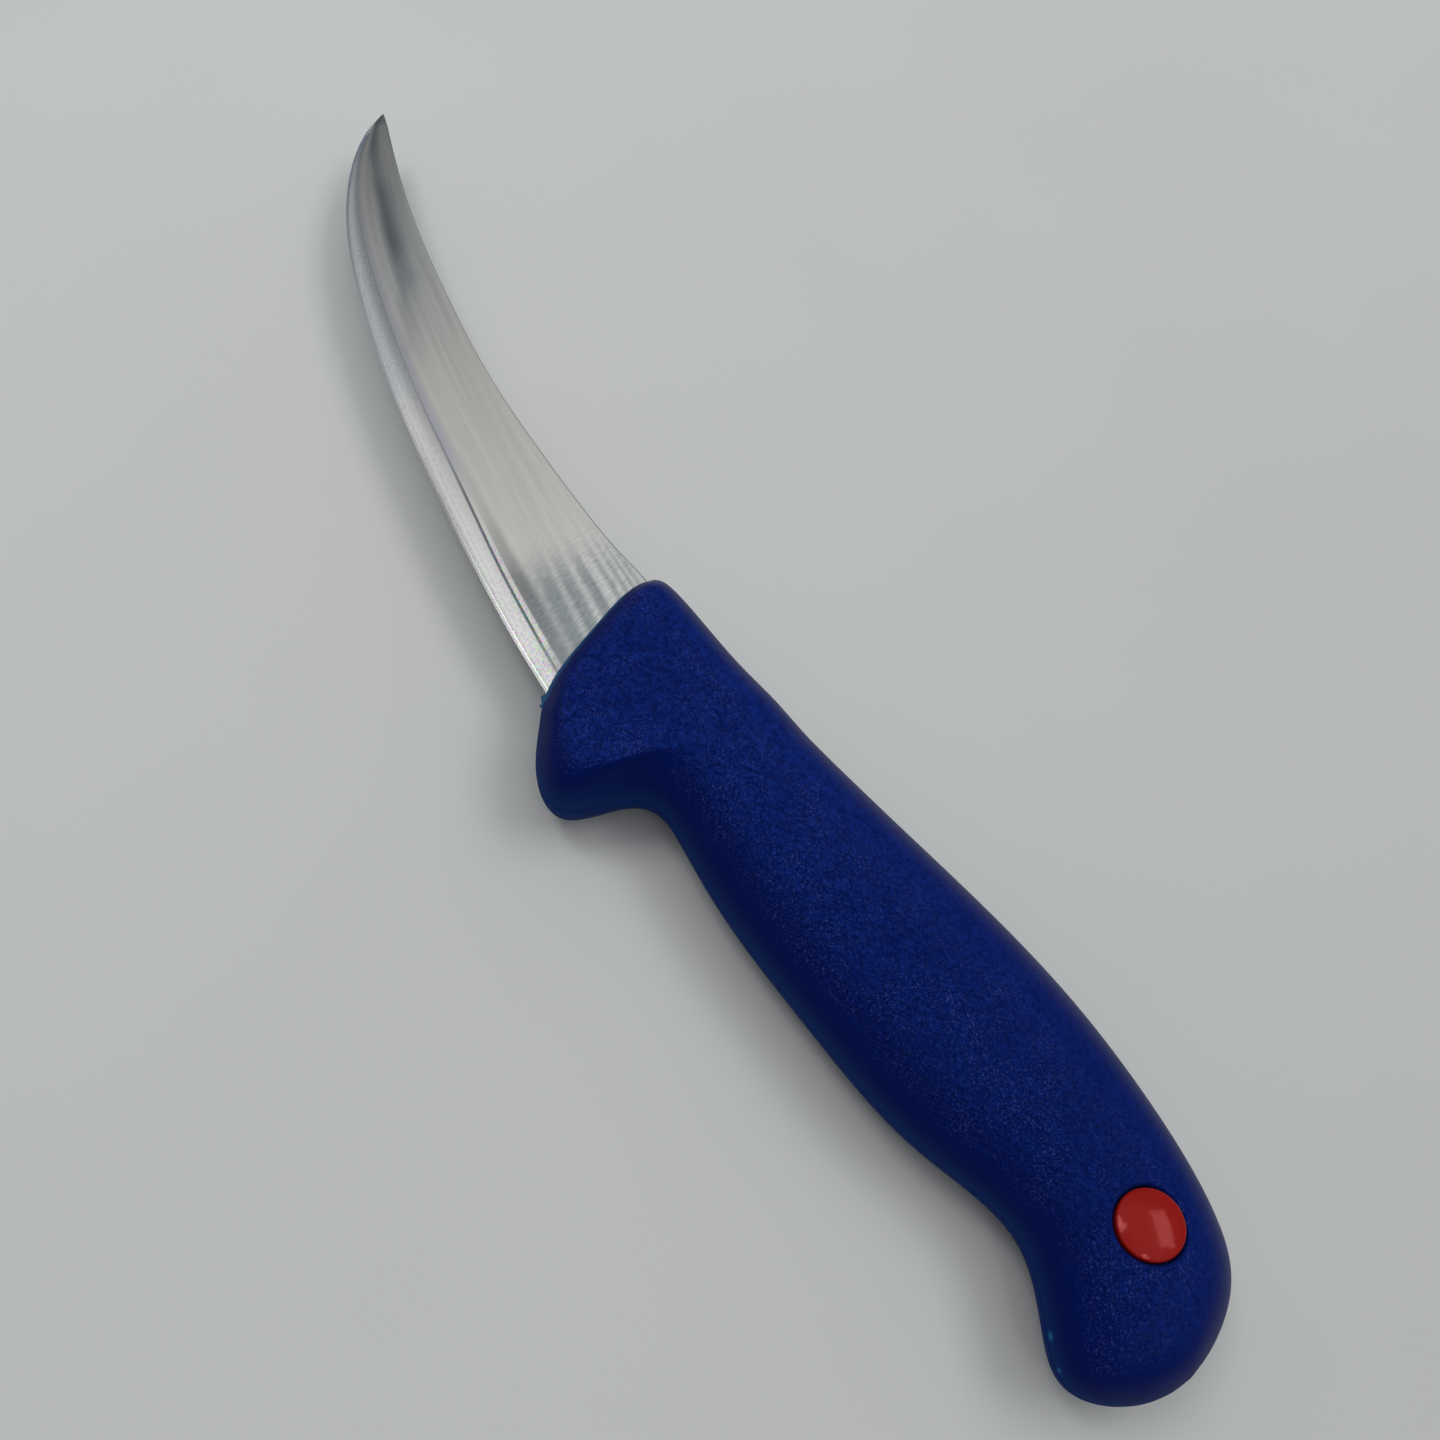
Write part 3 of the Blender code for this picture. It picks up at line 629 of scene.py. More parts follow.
# Painted sheen: the steep skin is tinted greener, for what it reflects at grazing.
steep_sheen = add(tree, "MapRange", {"Value": flatness, "From Min": 0.05, "From Max": 0.5, "To Min": 1.0,
                               "To Max": 0.0}, interpolation_type="SMOOTHSTEP").outputs[0]
thin = add(tree, "Attribute", attribute_name="thin", attribute_type="GEOMETRY").outputs["Fac"]
# The blue, mixed with painted light: paler lit grain, greener steep skin, painted glints, and teal
# where light comes through.
blue = linear("061756")
for share, tint in ((painted_lit_grain, "0F2775"), (steep_sheen, "0A2D6C"), (painted_glints, "5563B4"), (thin, "2A78AA")):
    blue = add(tree, "Mix", {"Factor": share, 6: blue, 7: linear(tint)}, data_type="RGBA").outputs[2]

# The steep sides are duller, and the grain stands up on the broad ones alone.
dull = add(tree, "MapRange", {"Value": flatness, "From Min": 0.0, "From Max": 0.92, "To Min": 0.75,
                              "To Max": 0.24}, interpolation_type="SMOOTHSTEP").outputs[0]
standing = add(tree, "MapRange", {"Value": belly_lean, "From Min": 0.84, "From Max": 0.99,
                                  "To Min": 0.04, "To Max": 1.0},
               interpolation_type="SMOOTHSTEP").outputs[0]
lump = add(tree, "Math", {0: fine_grain, 1: 0.08, 2: peel}, operation="MULTIPLY_ADD").outputs[0]
bump = add(tree, "Bump", {"Height": lump, "Strength": standing, "Distance": 0.0009}).outputs[0]
plastic = add(tree, "BsdfPrincipled", {"Base Color": blue, "Roughness": dull, "IOR": 1.49,
                                       "Specular IOR Level": 0.07, "Specular Tint": linear("7286FF"),
                                       "Normal": bump})
tree.links.new(plastic.outputs[0], out.inputs["Surface"])

handle = new_piece("knife_handle", handle_shell(), blue_polypropylene)
coarse = np.linspace(0.0, len(BLADE_STATIONS) - 1.0, 67)
blade_cavity_mesh = mesh_from_rings("blade_cavity", blade_rings(coarse, MOULD_CLEARANCE)[0])
close_up(blade_cavity_mesh, cap=True)
blade_cavity = new_piece("blade_cavity", blade_cavity_mesh)
tang_cavity = plate("tang_cavity", MOULD_CLEARANCE)

# The socket's wall rolls outwards in an arc below the skin, and comes out of it at a slant.
SOCKET_SLANT = 3.0              # mm that the slant runs on above the skin
SOCKET_TOP = 6.0                # mm above the plug's rim where what is cut away ends
gap = PLUG_CLEARANCE
wall = PLUG_RADIUS + gap
floor = -PLUG_HEAD_THICKNESS - gap
spigot_wall = PLUG_SPIGOT_RADIUS + gap
roll = np.radians(np.linspace(SOCKET_ROLL, 0.0, 6))
arc = list(zip(wall + SOCKET_ROUND * (1.0 - np.cos(roll)), SOCKET_ROUND * (np.sin(roll) - 1.0)))
slant = (arc[0][0] + SOCKET_SLANT * np.sin(roll[0]), arc[0][1] + SOCKET_SLANT * np.cos(roll[0]))
socket_profile = [(0.0, SOCKET_TOP), (slant[0], SOCKET_TOP), slant, *arc, (wall, floor),
                  (spigot_wall, floor), (spigot_wall, floor - PLUG_SPIGOT_LENGTH),
                  (0.0, floor - PLUG_SPIGOT_LENGTH)]
socket_mesh = turn_up("plug_socket", socket_profile, 120, on_skin=slice(2, 3 + len(arc)))
socket = new_piece("plug_socket", socket_mesh)
for cutter in (blade_cavity, tang_cavity, socket):
    carve(handle, cutter)
settle(handle, blade_cavity, tang_cavity, socket)
handle.data.shade_smooth()
handle.data.set_sharp_from_angle(angle=np.radians(40.0))


def mouth_line(columns):
    """The mouth in plan, from its belly edge to its spine edge."""
    last = len(HANDLE_RIBS)
    return handle_surface(np.array((last - 1.0, last - 0.5, last)), columns)[0][-1]


# Plastic thin enough for light to come through is teal: round the slot, on the rim of the
# mouth and in two specks of flash at the butt.
BUTT_FLASH = (((-131.2, 2.6, 1.4), 0.5), ((-135.3, 4.2, 1.2), 0.35))     # place and radius
SLOT_END = 3.3                  # mm above and below the blade's middle where the slot's teal ends
SLOT_FADE = 1.9
SLOT_LEAST = 0.16               # share of the teal that stays beyond that, along the mouth
SLOT_DEPTH = 0.55               # mm into the mouth that it fades over
RIM_DEPTH = 0.8
count = len(handle.data.vertices)
co = np.empty(count * 3, np.float32)
handle.data.vertices.foreach_get("co", co)
co = co.reshape(-1, 3) / MM - plan_origin
to_mouth = np.linalg.norm(co[:, None, :2] - mouth_line(60)[None], axis=2).min(axis=1)
by_slot = np.clip((SLOT_END - np.abs(co[:, 2])) / SLOT_FADE, SLOT_LEAST, 1.0)
thinness = np.maximum(by_slot * np.clip(1.25 - to_mouth / SLOT_DEPTH, 0.0, 1.0),
                      0.5 * np.clip(1.9 - to_mouth / RIM_DEPTH, 0.0, 1.0))
for spot, radius in BUTT_FLASH:
    away = np.linalg.norm(co - spot, axis=1) / radius
    thinness = np.maximum(thinness, 0.8 * np.clip(1.6 - away, 0.0, 1.0))
thin_attribute = handle.data.attributes.new("thin", "FLOAT", "POINT")
thin_attribute.data.foreach_set("value", thinness.astype(np.float32))
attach(handle, "root")
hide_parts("handle")


# Flash: the thin web of plastic that crept out between the mould and the blade, along
# the mouth on both sides. It is torn to a ragged edge, and light comes through it.
FLASH_REACH = 0.4               # mm out over the steel, before it is torn
FLASH_THICKNESS = 0.2
FLASH_TONGUE = (1.9, 0.5, 0.85)     # mm along the mouth, half its width, and its extra reach
FLASH_ENDS = 8                  # columns of the mouth without flash at either end
HEEL_EDGE_Y = 13.3              # the cutting edge at the mouth, and how the bevel rises from it
HEEL_BEVEL_SLOPE = 0.155


def flash_mesh(upper):
    """Wedge swept along the mouth: its toe reaches out over the steel by the sum of two
    sine waves, and by a bell curve at the tongue near the cutting edge."""
    plan = mouth_line(160)[FLASH_ENDS:-FLASH_ENDS]
    ahead = unit(np.gradient(plan, axis=0))
    out_way = turned(ahead, 90.0)
    out_way *= np.sign(out_way[len(plan) // 2, 0])
    step = np.linalg.norm(np.diff(plan, axis=0), axis=1)
    walked = np.concatenate(([0.0], np.cumsum(step)))[:, None]
    torn = FLASH_REACH * (1.0 + 0.35 * np.sin(walked * 2.1) + 0.3 * np.sin(walked * 5.3 + 1.0))
    tongue_at, tongue_width, tongue_reach = FLASH_TONGUE
    torn += tongue_reach * np.exp(-((walked - tongue_at) / tongue_width)**2)
    a, b, c = face_plane()
    flat = a * plan[:, :1] + b * plan[:, 1:] + c
    height = np.clip(HEEL_BEVEL_SLOPE * (HEEL_EDGE_Y - plan[:, 1:]), 0.0, flat)
    section = ((-0.35, -0.05), (torn, -0.05), (torn * 0.8, 0.04), (0.12, FLASH_THICKNESS),
               (-0.1, 0.45), (-0.35, 0.45))     # mm forward over the steel, and mm up from it
    rings = [np.hstack((plan + forward * out_way, height + lift)) for forward, lift in section]
    rings = np.stack(rings, axis=1)
    if not upper:
        rings = rings * (1.0, 1.0, -1.0)
    mesh = mesh_from_rings("mouth_flash", rings)
    close_up(mesh, cap=True)
    return mesh


# The same polypropylene where it is thin: light comes through it and turns it teal.
THIN_SPOT = 1.43                # mm between the thinnest spots of the web
thin_polypropylene, tree, out = new_material("thin_polypropylene_teal")
place = add(tree, "TexCoord").outputs["Object"]
patchy = add(tree, "TexNoise", {"Vector": place, "Scale": 1.0 / (THIN_SPOT * MM),
                                "Detail": 2.0}).outputs["Fac"]
web = add(tree, "Mix", {"Factor": patchy, 6: linear("123C72"), 7: linear("2C7AA8")}, data_type="RGBA")
web_shader = add(tree, "BsdfPrincipled", {"Base Color": web.outputs[2], "Roughness": 0.4, "IOR": 1.49,
                                          "Specular IOR Level": 0.3})
tree.links.new(web_shader.outputs[0], out.inputs["Surface"])
for name, upper in (("mouth_flash_upper", True), ("mouth_flash_under", False)):
    flash = new_piece(name, flash_mesh(upper), thin_polypropylene)
    flash.data.shade_smooth()
    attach(flash, "root")


# Plug: the injection point's cover, turned red ABS, polished, pressed into its socket.
# Its dome is a shallow cap with a small round at the rim.
RIM_ROUND = 0.3
sphere = (PLUG_RADIUS**2 + PLUG_DOME**2) / (2.0 * PLUG_DOME)
reach = np.arcsin((PLUG_RADIUS - RIM_ROUND * 0.6) / sphere)
dome = [(sphere * np.sin(a), sphere * np.cos(a) - sphere + PLUG_DOME)
        for a in np.linspace(0.0, reach, 36)]
rim = [(PLUG_RADIUS - RIM_ROUND * (1 - np.cos(a)) * 0.6, -RIM_ROUND + RIM_ROUND * np.sin(a))
       for a in np.linspace(np.pi / 2.0 * 0.75, 0.0, 7)]
under = -PLUG_HEAD_THICKNESS
plug_profile = [*dome, *rim, (PLUG_RADIUS, under), (PLUG_SPIGOT_RADIUS, under),
                (PLUG_SPIGOT_RADIUS, under - PLUG_SPIGOT_LENGTH), (0.0, under - PLUG_SPIGOT_LENGTH)]

# Polished ABS: saturated red, glossy, with the faint unevenness of a moulded face.
WAVE = 2.38                     # mm between the waves of the moulded face
RUB = 0.385                     # mm between the spots where handling has dulled the gloss,
                                # drawn coarser than they are
red_abs, tree, out = new_material("polished_abs_red")
place = add(tree, "TexCoord").outputs["Object"]
uneven = add(tree, "TexNoise", {"Vector": place, "Scale": 1.0 / (WAVE * MM),
                                "Detail": 2.0}).outputs["Fac"]
rubbed_spots = add(tree, "TexNoise", {"Vector": place, "Scale": 1.0 / (RUB * MM),
                                      "Detail": 2.0}).outputs["Fac"]
red = add(tree, "Mix", {"Factor": uneven, 6: linear("8E130F"), 7: linear("9E1B16")}, data_type="RGBA")
gloss = add(tree, "MapRange", {"Value": rubbed_spots, "From Min": 0.3, "From Max": 0.7, "To Min": 0.07,
                               "To Max": 0.16}).outputs[0]
ripple = add(tree, "Bump", {"Height": uneven, "Strength": 1.0, "Distance": 0.00006}).outputs[0]
abs_shader = add(tree, "BsdfPrincipled", {"Base Color": red.outputs[2], "Roughness": gloss, "IOR": 1.53,
                                          "Specular IOR Level": 0.36, "Specular Tint": linear("FF9C98"),
                                          "Normal": ripple})
tree.links.new(abs_shader.outputs[0], out.inputs["Surface"])
plug = new_piece("red_plug", turn_up("red_plug", plug_profile, 96), red_abs)
plug.data.shade_smooth()
plug.data.set_sharp_from_angle(angle=np.radians(40.0))
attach(plug, "root")
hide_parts("handle_plug")


# Blade: stainless strip, ground flat on both sides, with a wide ground bevel and a
# narrow honed one. The root and tang behind it are the strip as rolled. Tones along it are
# (mm from the handle, tone), and those across it (share from spine to shoulder, tone).
STREAKS_AND_REFLECTIONS = (                     # share across the flat at the handle, and how bright: wheel marks and painted reflections
    (0.0, 0.75), (0.035, 0.9), (0.075, 0.45), (0.1, 0.85), (0.125, 0.4), (0.15, 0.85), (0.19, 0.35),
    (0.225, 0.9), (0.27, 0.35), (0.32, 1.0), (0.36, 0.8), (0.395, 0.12), (0.435, 0.15), (0.495, 0.8),
    (0.555, 0.2), (0.6, 0.12), (0.655, 0.6), (0.715, 0.12), (0.76, 0.12), (0.82, 0.42), (0.88, 0.15),
    (0.925, 0.12), (0.945, 0.5), (1.0, 0.5),
)
STREAK_LEAN = 0.006             # share that a streak nears the spine by for each millimetre
# Painted darkening towards the tip, for the darker room that the flats reflect there.
TIP_DARKENING = ((0.0, 1.0), (55.0, 1.0), (75.0, 0.92), (95.0, 0.86), (110.0, 0.72), (128.0, 0.54))
# The painted blue-grey reflection near the tip: its share across, then its depth.
REFLECTION_STREAK_LINE = ((0.0, 0.8), (70.0, 0.8), (76.0, 0.72), (85.0, 0.56), (95.0, 0.52), (105.0, 0.49),
              (113.0, 0.54), (120.0, 0.66), (128.0, 0.8))
REFLECTION_STREAK_DEPTH = ((0.0, 0.0), (62.0, 0.0), (76.0, 0.2), (86.0, 0.5), (95.0, 0.76), (106.0, 0.66),
               (113.0, 0.45), (121.0, 0.55), (128.0, 0.35))
SHOULDER_RUN = ((0.0, 0.55), (8.0, 0.9), (34.0, 0.85), (48.0, 0.42), (64.0, 0.2), (100.0, 0.18),
                (122.0, 0.0))
BLADE_REACH = 128.0


def marks_of(tree):
    """The blade's mark map: millimetres along it, and the share across it."""
    marks = add(tree, "UVMap", uv_map="marks").outputs[0]
    split = add(tree, "SeparateXYZ", {0: marks})
    return marks, split.outputs[0], split.outputs[1]


def marked_noise(tree, marks, each_mm, each_share, detail=3.0, rough=0.55):
    """Noise over the mark map, with its size along and its share across."""
    scaled = add(tree, "VectorMath", {0: marks, 1: (1.0 / each_mm, 1.0 / each_share, 1.0)},
                 operation="MULTIPLY").outputs[0]
    return add(tree, "TexNoise", {"Vector": scaled, "Scale": 1.0, "Detail": detail, "Roughness": rough})


def ramp_from(tree, value, stops, full, interpolation="EASE"):
    """Ramp over a value from 0 to full, through (value, tone) stops."""
    share = add(tree, "Math", {0: value, 1: 1.0 / full}, operation="MULTIPLY").outputs[0]
    made = add(tree, "ValToRGB", {0: share})
    elements = made.color_ramp.elements
    made.color_ramp.interpolation = interpolation
    for number, (where, tone) in enumerate(stops):
        stop = elements[number] if number < 2 else elements.new(where / full)
        stop.position = where / full
        stop.color = (tone, tone, tone, 1.0)
    return made.outputs[0]


# Ground stainless on the flats: a satin grey, streaked lengthwise near the handle by the
# wheel's marks and by painted reflections of its ripples, with fine marks across, and blank
# towards the tip, where it is painted darker for the darker room that it reflects.
flat_steel, tree, out = new_material("ground_stainless_flats")
marks, along, across = marks_of(tree)
lean = add(tree, "MapRange", {"Value": across, "From Min": 0.65, "From Max": 0.92,
                              "To Min": STREAK_LEAN, "To Max": 0.0}).outputs[0]
placed = add(tree, "Math", {0: along, 1: lean, 2: across}, operation="MULTIPLY_ADD").outputs[0]
# Lengthwise streaks by share across the flat: wheel marks and painted reflections.
streak_and_reflection = ramp_from(tree, placed, STREAKS_AND_REFLECTIONS, 1.0)
reach = add(tree, "Math", {0: across, 1: -10.0, 2: along}, operation="MULTIPLY_ADD").outputs[0]
fade = add(tree, "MapRange", {"Value": reach, "From Min": 2.0, "From Max": 15.0, "To Min": 1.0,
                              "To Max": 0.12}, interpolation_type="SMOOTHSTEP").outputs[0]
broad = marked_noise(tree, marks, 70.0, 0.1, 2.0).outputs["Fac"]
level = add(tree, "MapRange", {"Value": broad, "From Min": 0.3, "From Max": 0.7, "To Min": 0.84,
                               "To Max": 1.0}).outputs[0]
kept = add(tree, "Mix", {"Factor": fade, 2: level, 3: streak_and_reflection}, data_type="FLOAT").outputs[0]
warm_stops = ((0.0, 0.0), (6.0, 0.1), (20.0, 1.0), (60.0, 1.0), (85.0, 0.1))
warmth = ramp_from(tree, along, warm_stops, BLADE_REACH)
light = add(tree, "Mix", {"Factor": warmth, 6: linear("CCCECE"), 7: linear("D6D5D0")}, data_type="RGBA")
tone = add(tree, "Mix", {"Factor": kept, 6: linear("878F92"), 7: light.outputs[2]}, data_type="RGBA")

# Above the shoulder, painted reflections: a dark strip at the heel, then a bright one with
# rainbow tints, which turns lilac further out, and the dark line of the shoulder itself.
# The dull strip is a painted dark reflection, and the bright one a painted highlight.
dull = ramp_from(tree, across, ((0.0, 0.0), (0.78, 0.0), (0.87, 1.0), (0.93, 1.0), (0.95, 0.0)), 1.0)
dark_strip_stops = ((0.0, 0.3), (8.0, 0.5), (15.0, 0.68), (22.0, 0.45), (34.0, 0.12), (46.0, 0.0))
dark_strip_run = ramp_from(tree, along, dark_strip_stops, BLADE_REACH)
bright = ramp_from(tree, across, ((0.0, 0.0), (0.935, 0.0), (0.955, 1.0), (0.985, 1.0)), 1.0)
bright_run = ramp_from(tree, along, ((0.0, 0.3), (5.0, 1.0), (22.0, 0.85), (42.0, 0.0)), BLADE_REACH)
lilac = ramp_from(tree, across, ((0.0, 0.0), (0.84, 0.0), (0.97, 1.0)), 1.0)
lilac_stops = ((0.0, 0.0), (32.0, 0.0), (48.0, 1.0), (95.0, 0.9), (118.0, 0.0))
lilac_run = ramp_from(tree, along, lilac_stops, BLADE_REACH)
line = ramp_from(tree, across, ((0.0, 0.0), (0.98, 0.0), (0.991, 1.0)), 1.0)
line_run = ramp_from(tree, along, SHOULDER_RUN, BLADE_REACH)
strips = ((dull, dark_strip_run, "78797A"), (bright, bright_run, "DEDDDC"), (lilac, lilac_run, "B9BAC2"),
          (line, line_run, "525C66"))
for shape, run, tint in strips:
    share = add(tree, "Math", {0: shape, 1: run}, operation="MULTIPLY").outputs[0]
    tone = add(tree, "Mix", {"Factor": share, 6: tone.outputs[2], 7: linear(tint)}, data_type="RGBA")
tints = marked_noise(tree, marks, 0.45, 0.02, 1.0).outputs["Color"]
tints = add(tree, "HueSaturation", {"Color": tints, "Saturation": 2.2, "Value": 1.05}).outputs[0]
rainbow = add(tree, "Math", {0: bright, 1: bright_run}, operation="MULTIPLY").outputs[0]
rainbow = add(tree, "Math", {0: rainbow, 1: 0.7}, operation="MULTIPLY").outputs[0]
tone = add(tree, "Mix", {"Factor": rainbow, 6: tone.outputs[2], 7: tints}, data_type="RGBA",
           blend_type="OVERLAY")

# A painted blue-grey reflection, a streak that runs out towards the tip.
reflection_streak_line = ramp_from(tree, along, REFLECTION_STREAK_LINE, BLADE_REACH)
below = add(tree, "Math", {0: across, 1: reflection_streak_line}, operation="SUBTRACT").outputs[0]
rising = add(tree, "MapRange", {"Value": below, "From Min": -0.45, "From Max": 0.0, "To Min": 0.0,
                                "To Max": 1.0}, interpolation_type="SMOOTHSTEP").outputs[0]
falling = add(tree, "MapRange", {"Value": below, "From Min": 0.0, "From Max": 0.2, "To Min": 1.0,
                                 "To Max": 0.0}, interpolation_type="SMOOTHSTEP").outputs[0]
reflection_streak = add(tree, "Math", {0: rising, 1: falling}, operation="MULTIPLY").outputs[0]
reflection_streak_depth = ramp_from(tree, along, REFLECTION_STREAK_DEPTH, BLADE_REACH)
reflection_streak = add(tree, "Math", {0: reflection_streak, 1: reflection_streak_depth}, operation="MULTIPLY").outputs[0]
tone = add(tree, "Mix", {"Factor": reflection_streak, 6: tone.outputs[2], 7: linear("4E5A66")}, data_type="RGBA")

# Marks across the blade, drawn twice as coarse as the real grit leaves them.
grit = marked_noise(tree, marks, 0.36, 0.09, 2.0, 0.5).outputs["Fac"]
near_heel = add(tree, "MapRange", {"Value": along, "From Min": 6.0, "From Max": 26.0, "To Min": 0.17,
                                   "To Max": 0.012}, interpolation_type="SMOOTHSTEP").outputs[0]
grit_tone = add(tree, "MapRange", {"Value": grit, "From Min": 0.3, "From Max": 0.7, "To Min": -1.0,
                                   "To Max": 1.0}).outputs[0]
grit_tone = add(tree, "Math", {0: grit_tone, 1: near_heel, 2: 1.0}, operation="MULTIPLY_ADD").outputs[0]
# Painted darkening towards the tip, for the darker room reflected there.
tip_darkening = ramp_from(tree, along, TIP_DARKENING, BLADE_REACH, "LINEAR")
dimmed = add(tree, "Math", {0: grit_tone, 1: tip_darkening}, operation="MULTIPLY").outputs[0]
dim_colour = add(tree, "CombineColor", {0: dimmed, 1: dimmed, 2: dimmed}).outputs[0]
steel_colour = add(tree, "Mix", {"Factor": 1.0, 6: tone.outputs[2], 7: dim_colour}, data_type="RGBA",
                   blend_type="MULTIPLY")
satin = add(tree, "MapRange", {"Value": broad, "From Min": 0.3, "From Max": 0.7, "To Min": 0.24,
                               "To Max": 0.3}).outputs[0]
scored = add(tree, "Math", {0: grit, 1: near_heel}, operation="MULTIPLY").outputs[0]
grooves = add(tree, "Bump", {"Height": scored, "Strength": 1.0, "Distance": 0.00002}).outputs[0]
grain_way = add(tree, "Tangent", direction_type="UV_MAP", uv_map="marks").outputs[0]
steel = add(tree, "BsdfPrincipled", {"Base Color": steel_colour.outputs[2], "Metallic": 1.0,
                                     "Roughness": satin, "Anisotropic": 0.5, "Tangent": grain_way,
                                     "Normal": grooves})
tree.links.new(steel.outputs[0], out.inputs["Surface"])

# The same steel on the bevels, off a finer wheel: pale, with honing lines by the edge at
# the heel, painted shade next to the handle, and the shoulder's painted dark line. Towards
# the tip it is cooler, and only the strip by the edge is pale, a painted reflection.
bevel_steel, tree, out = new_material("ground_stainless_bevel")
marks, along, across = marks_of(tree)
grit = marked_noise(tree, marks, 0.5, 0.25, 3.0, 0.6)
pale = add(tree, "Mix", {"Factor": grit.outputs["Fac"], 6: linear("DADBDA"), 7: linear("FBFCFB")},
           data_type="RGBA")
heel_stops = ((1.0, 0.72), (1.2, 0.75), (1.5, 0.83), (1.6, 0.84), (1.64, 0.7), (1.68, 0.85),
              (1.8, 0.86), (1.84, 0.66), (1.88, 0.78), (1.96, 0.5), (2.0, 0.34), (3.0, 0.36))
heel_lines = ramp_from(tree, across, heel_stops, 3.0, "LINEAR")
# Towards the tip, painted darker by the shoulder and paler by the edge, for what it reflects.
far_stops = ((1.0, 0.55), (1.25, 0.6), (1.5, 0.8), (1.75, 0.96), (2.0, 0.86), (3.0, 0.95))
far_tones = ramp_from(tree, across, far_stops, 3.0, "LINEAR")
far = ramp_from(tree, along, ((0.0, 0.0), (34.0, 0.0), (62.0, 0.85), (80.0, 1.0)), BLADE_REACH)
tones = add(tree, "Mix", {"Factor": far, 6: heel_lines, 7: far_tones}, data_type="RGBA")
# Painted shade on the bevel next to the handle's mouth.
heel_shade = ramp_from(tree, along, ((0.0, 0.74), (8.0, 0.92), (24.0, 1.0)), BLADE_REACH)
tones = add(tree, "Mix", {"Factor": 1.0, 6: tones.outputs[2], 7: heel_shade}, data_type="RGBA",
            blend_type="MULTIPLY")
toned = add(tree, "Mix", {"Factor": 1.0, 6: pale.outputs[2], 7: tones.outputs[2]}, data_type="RGBA",
            blend_type="MULTIPLY")
cool = ramp_from(tree, along, ((0.0, 0.0), (52.0, 0.0), (74.0, 1.0)), BLADE_REACH)
toned = add(tree, "Mix", {"Factor": cool, 6: toned.outputs[2], 7: linear("EAEEF5")}, data_type="RGBA",
            blend_type="MULTIPLY")
# The shoulder's dark line, a painted dark reflection.
line = ramp_from(tree, across, ((1.0, 1.0), (1.04, 1.0), (1.1, 0.0)), 3.0, "LINEAR")
line_run = ramp_from(tree, along, SHOULDER_RUN, BLADE_REACH)
line = add(tree, "Math", {0: line, 1: line_run}, operation="MULTIPLY").outputs[0]
lined = add(tree, "Mix", {"Factor": line, 6: toned.outputs[2], 7: linear("5A646E")}, data_type="RGBA")
tints = marked_noise(tree, marks, 0.4, 0.12, 1.0).outputs["Color"]
tints = add(tree, "HueSaturation", {"Color": tints, "Saturation": 1.5, "Value": 1.3}).outputs[0]
tint_fade = add(tree, "MapRange", {"Value": along, "From Min": 8.0, "From Max": 40.0, "To Min": 0.4,
                                   "To Max": 0.04}).outputs[0]
tinted = add(tree, "Mix", {"Factor": tint_fade, 6: lined.outputs[2], 7: tints}, data_type="RGBA",
             blend_type="OVERLAY")
satin = add(tree, "MapRange", {"Value": grit.outputs["Fac"], "From Min": 0.3, "From Max": 0.7,
                               "To Min": 0.2, "To Max": 0.28}).outputs[0]
grooves = add(tree, "Bump", {"Height": grit.outputs["Fac"], "Strength": 0.3,
                             "Distance": 0.00001}).outputs[0]
grain_way = add(tree, "Tangent", direction_type="UV_MAP", uv_map="marks").outputs[0]
steel = add(tree, "BsdfPrincipled", {"Base Color": tinted.outputs[2], "Metallic": 1.0,
                                     "Roughness": satin, "Anisotropic": 0.4, "Tangent": grain_way,
                                     "Normal": grooves})
tree.links.new(steel.outputs[0], out.inputs["Surface"])

stations = len(BLADE_STATIONS) - 1.0
fine = np.concatenate((np.linspace(0.0, stations - 1.0, 260)[:-1],
                       np.linspace(stations - 1.0, stations, 30)))
rings, where = blade_rings(fine, fine=True)
blade_mesh = mesh_from_rings("knife_blade", rings, within="blade")
count = rings.shape[1] // 2
corner = np.empty(len(blade_mesh.loops), np.int32)
blade_mesh.loops.foreach_get("vertex_index", corner)
mark_map = where.reshape(-1, 2)[corner].astype(np.float32)
blade_mesh.uv_layers.new(name="marks").data.foreach_set("uv", mark_map.ravel())
blade_mesh.materials.append(flat_steel)
blade_mesh.materials.append(bevel_steel)
column = np.tile(np.arange(2 * count), len(fine) - 1)
first_bevel = np.argmax(where[0, :, 1] >= 1.0)
on_bevel = (column >= first_bevel) & (column < 2 * count - 1 - first_bevel)
blade_mesh.polygons.foreach_set("material_index", on_bevel.astype(np.int32))
close_up(blade_mesh, cap=True)
blade = new_piece("knife_blade", blade_mesh)
tang = plate("tang", 0.0)
carve(blade, tang, "UNION")
settle(blade, tang)
blade.data.shade_smooth()
blade.data.set_sharp_from_angle(angle=np.radians(35.0))
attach(blade, "root")
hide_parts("blade")


# Camera: a phone's main lens, held over the belly side of the handle, looking down.
CAMERA_PLACE = (-0.0903, 0.0749, 0.2196)
CAMERA_AIM = (-0.01185, -0.01025, 0.0)
CAMERA_ROLL = 16.1
CAMERA_LENS = 34.575
camera_data = bpy.data.cameras.new("camera")
camera_data.lens = CAMERA_LENS
camera_data.sensor_width = 36.0
camera_data.clip_start = 0.01
camera = bpy.data.objects.new("camera", camera_data)
bpy.context.scene.collection.objects.link(camera)
camera.location = CAMERA_PLACE
look = (Vector(CAMERA_AIM) - Vector(CAMERA_PLACE)).to_track_quat("-Z", "Y")
camera.rotation_euler = (look @ Quaternion((0.0, 0.0, 1.0), np.radians(CAMERA_ROLL))).to_euler()
bpy.context.scene.camera = camera


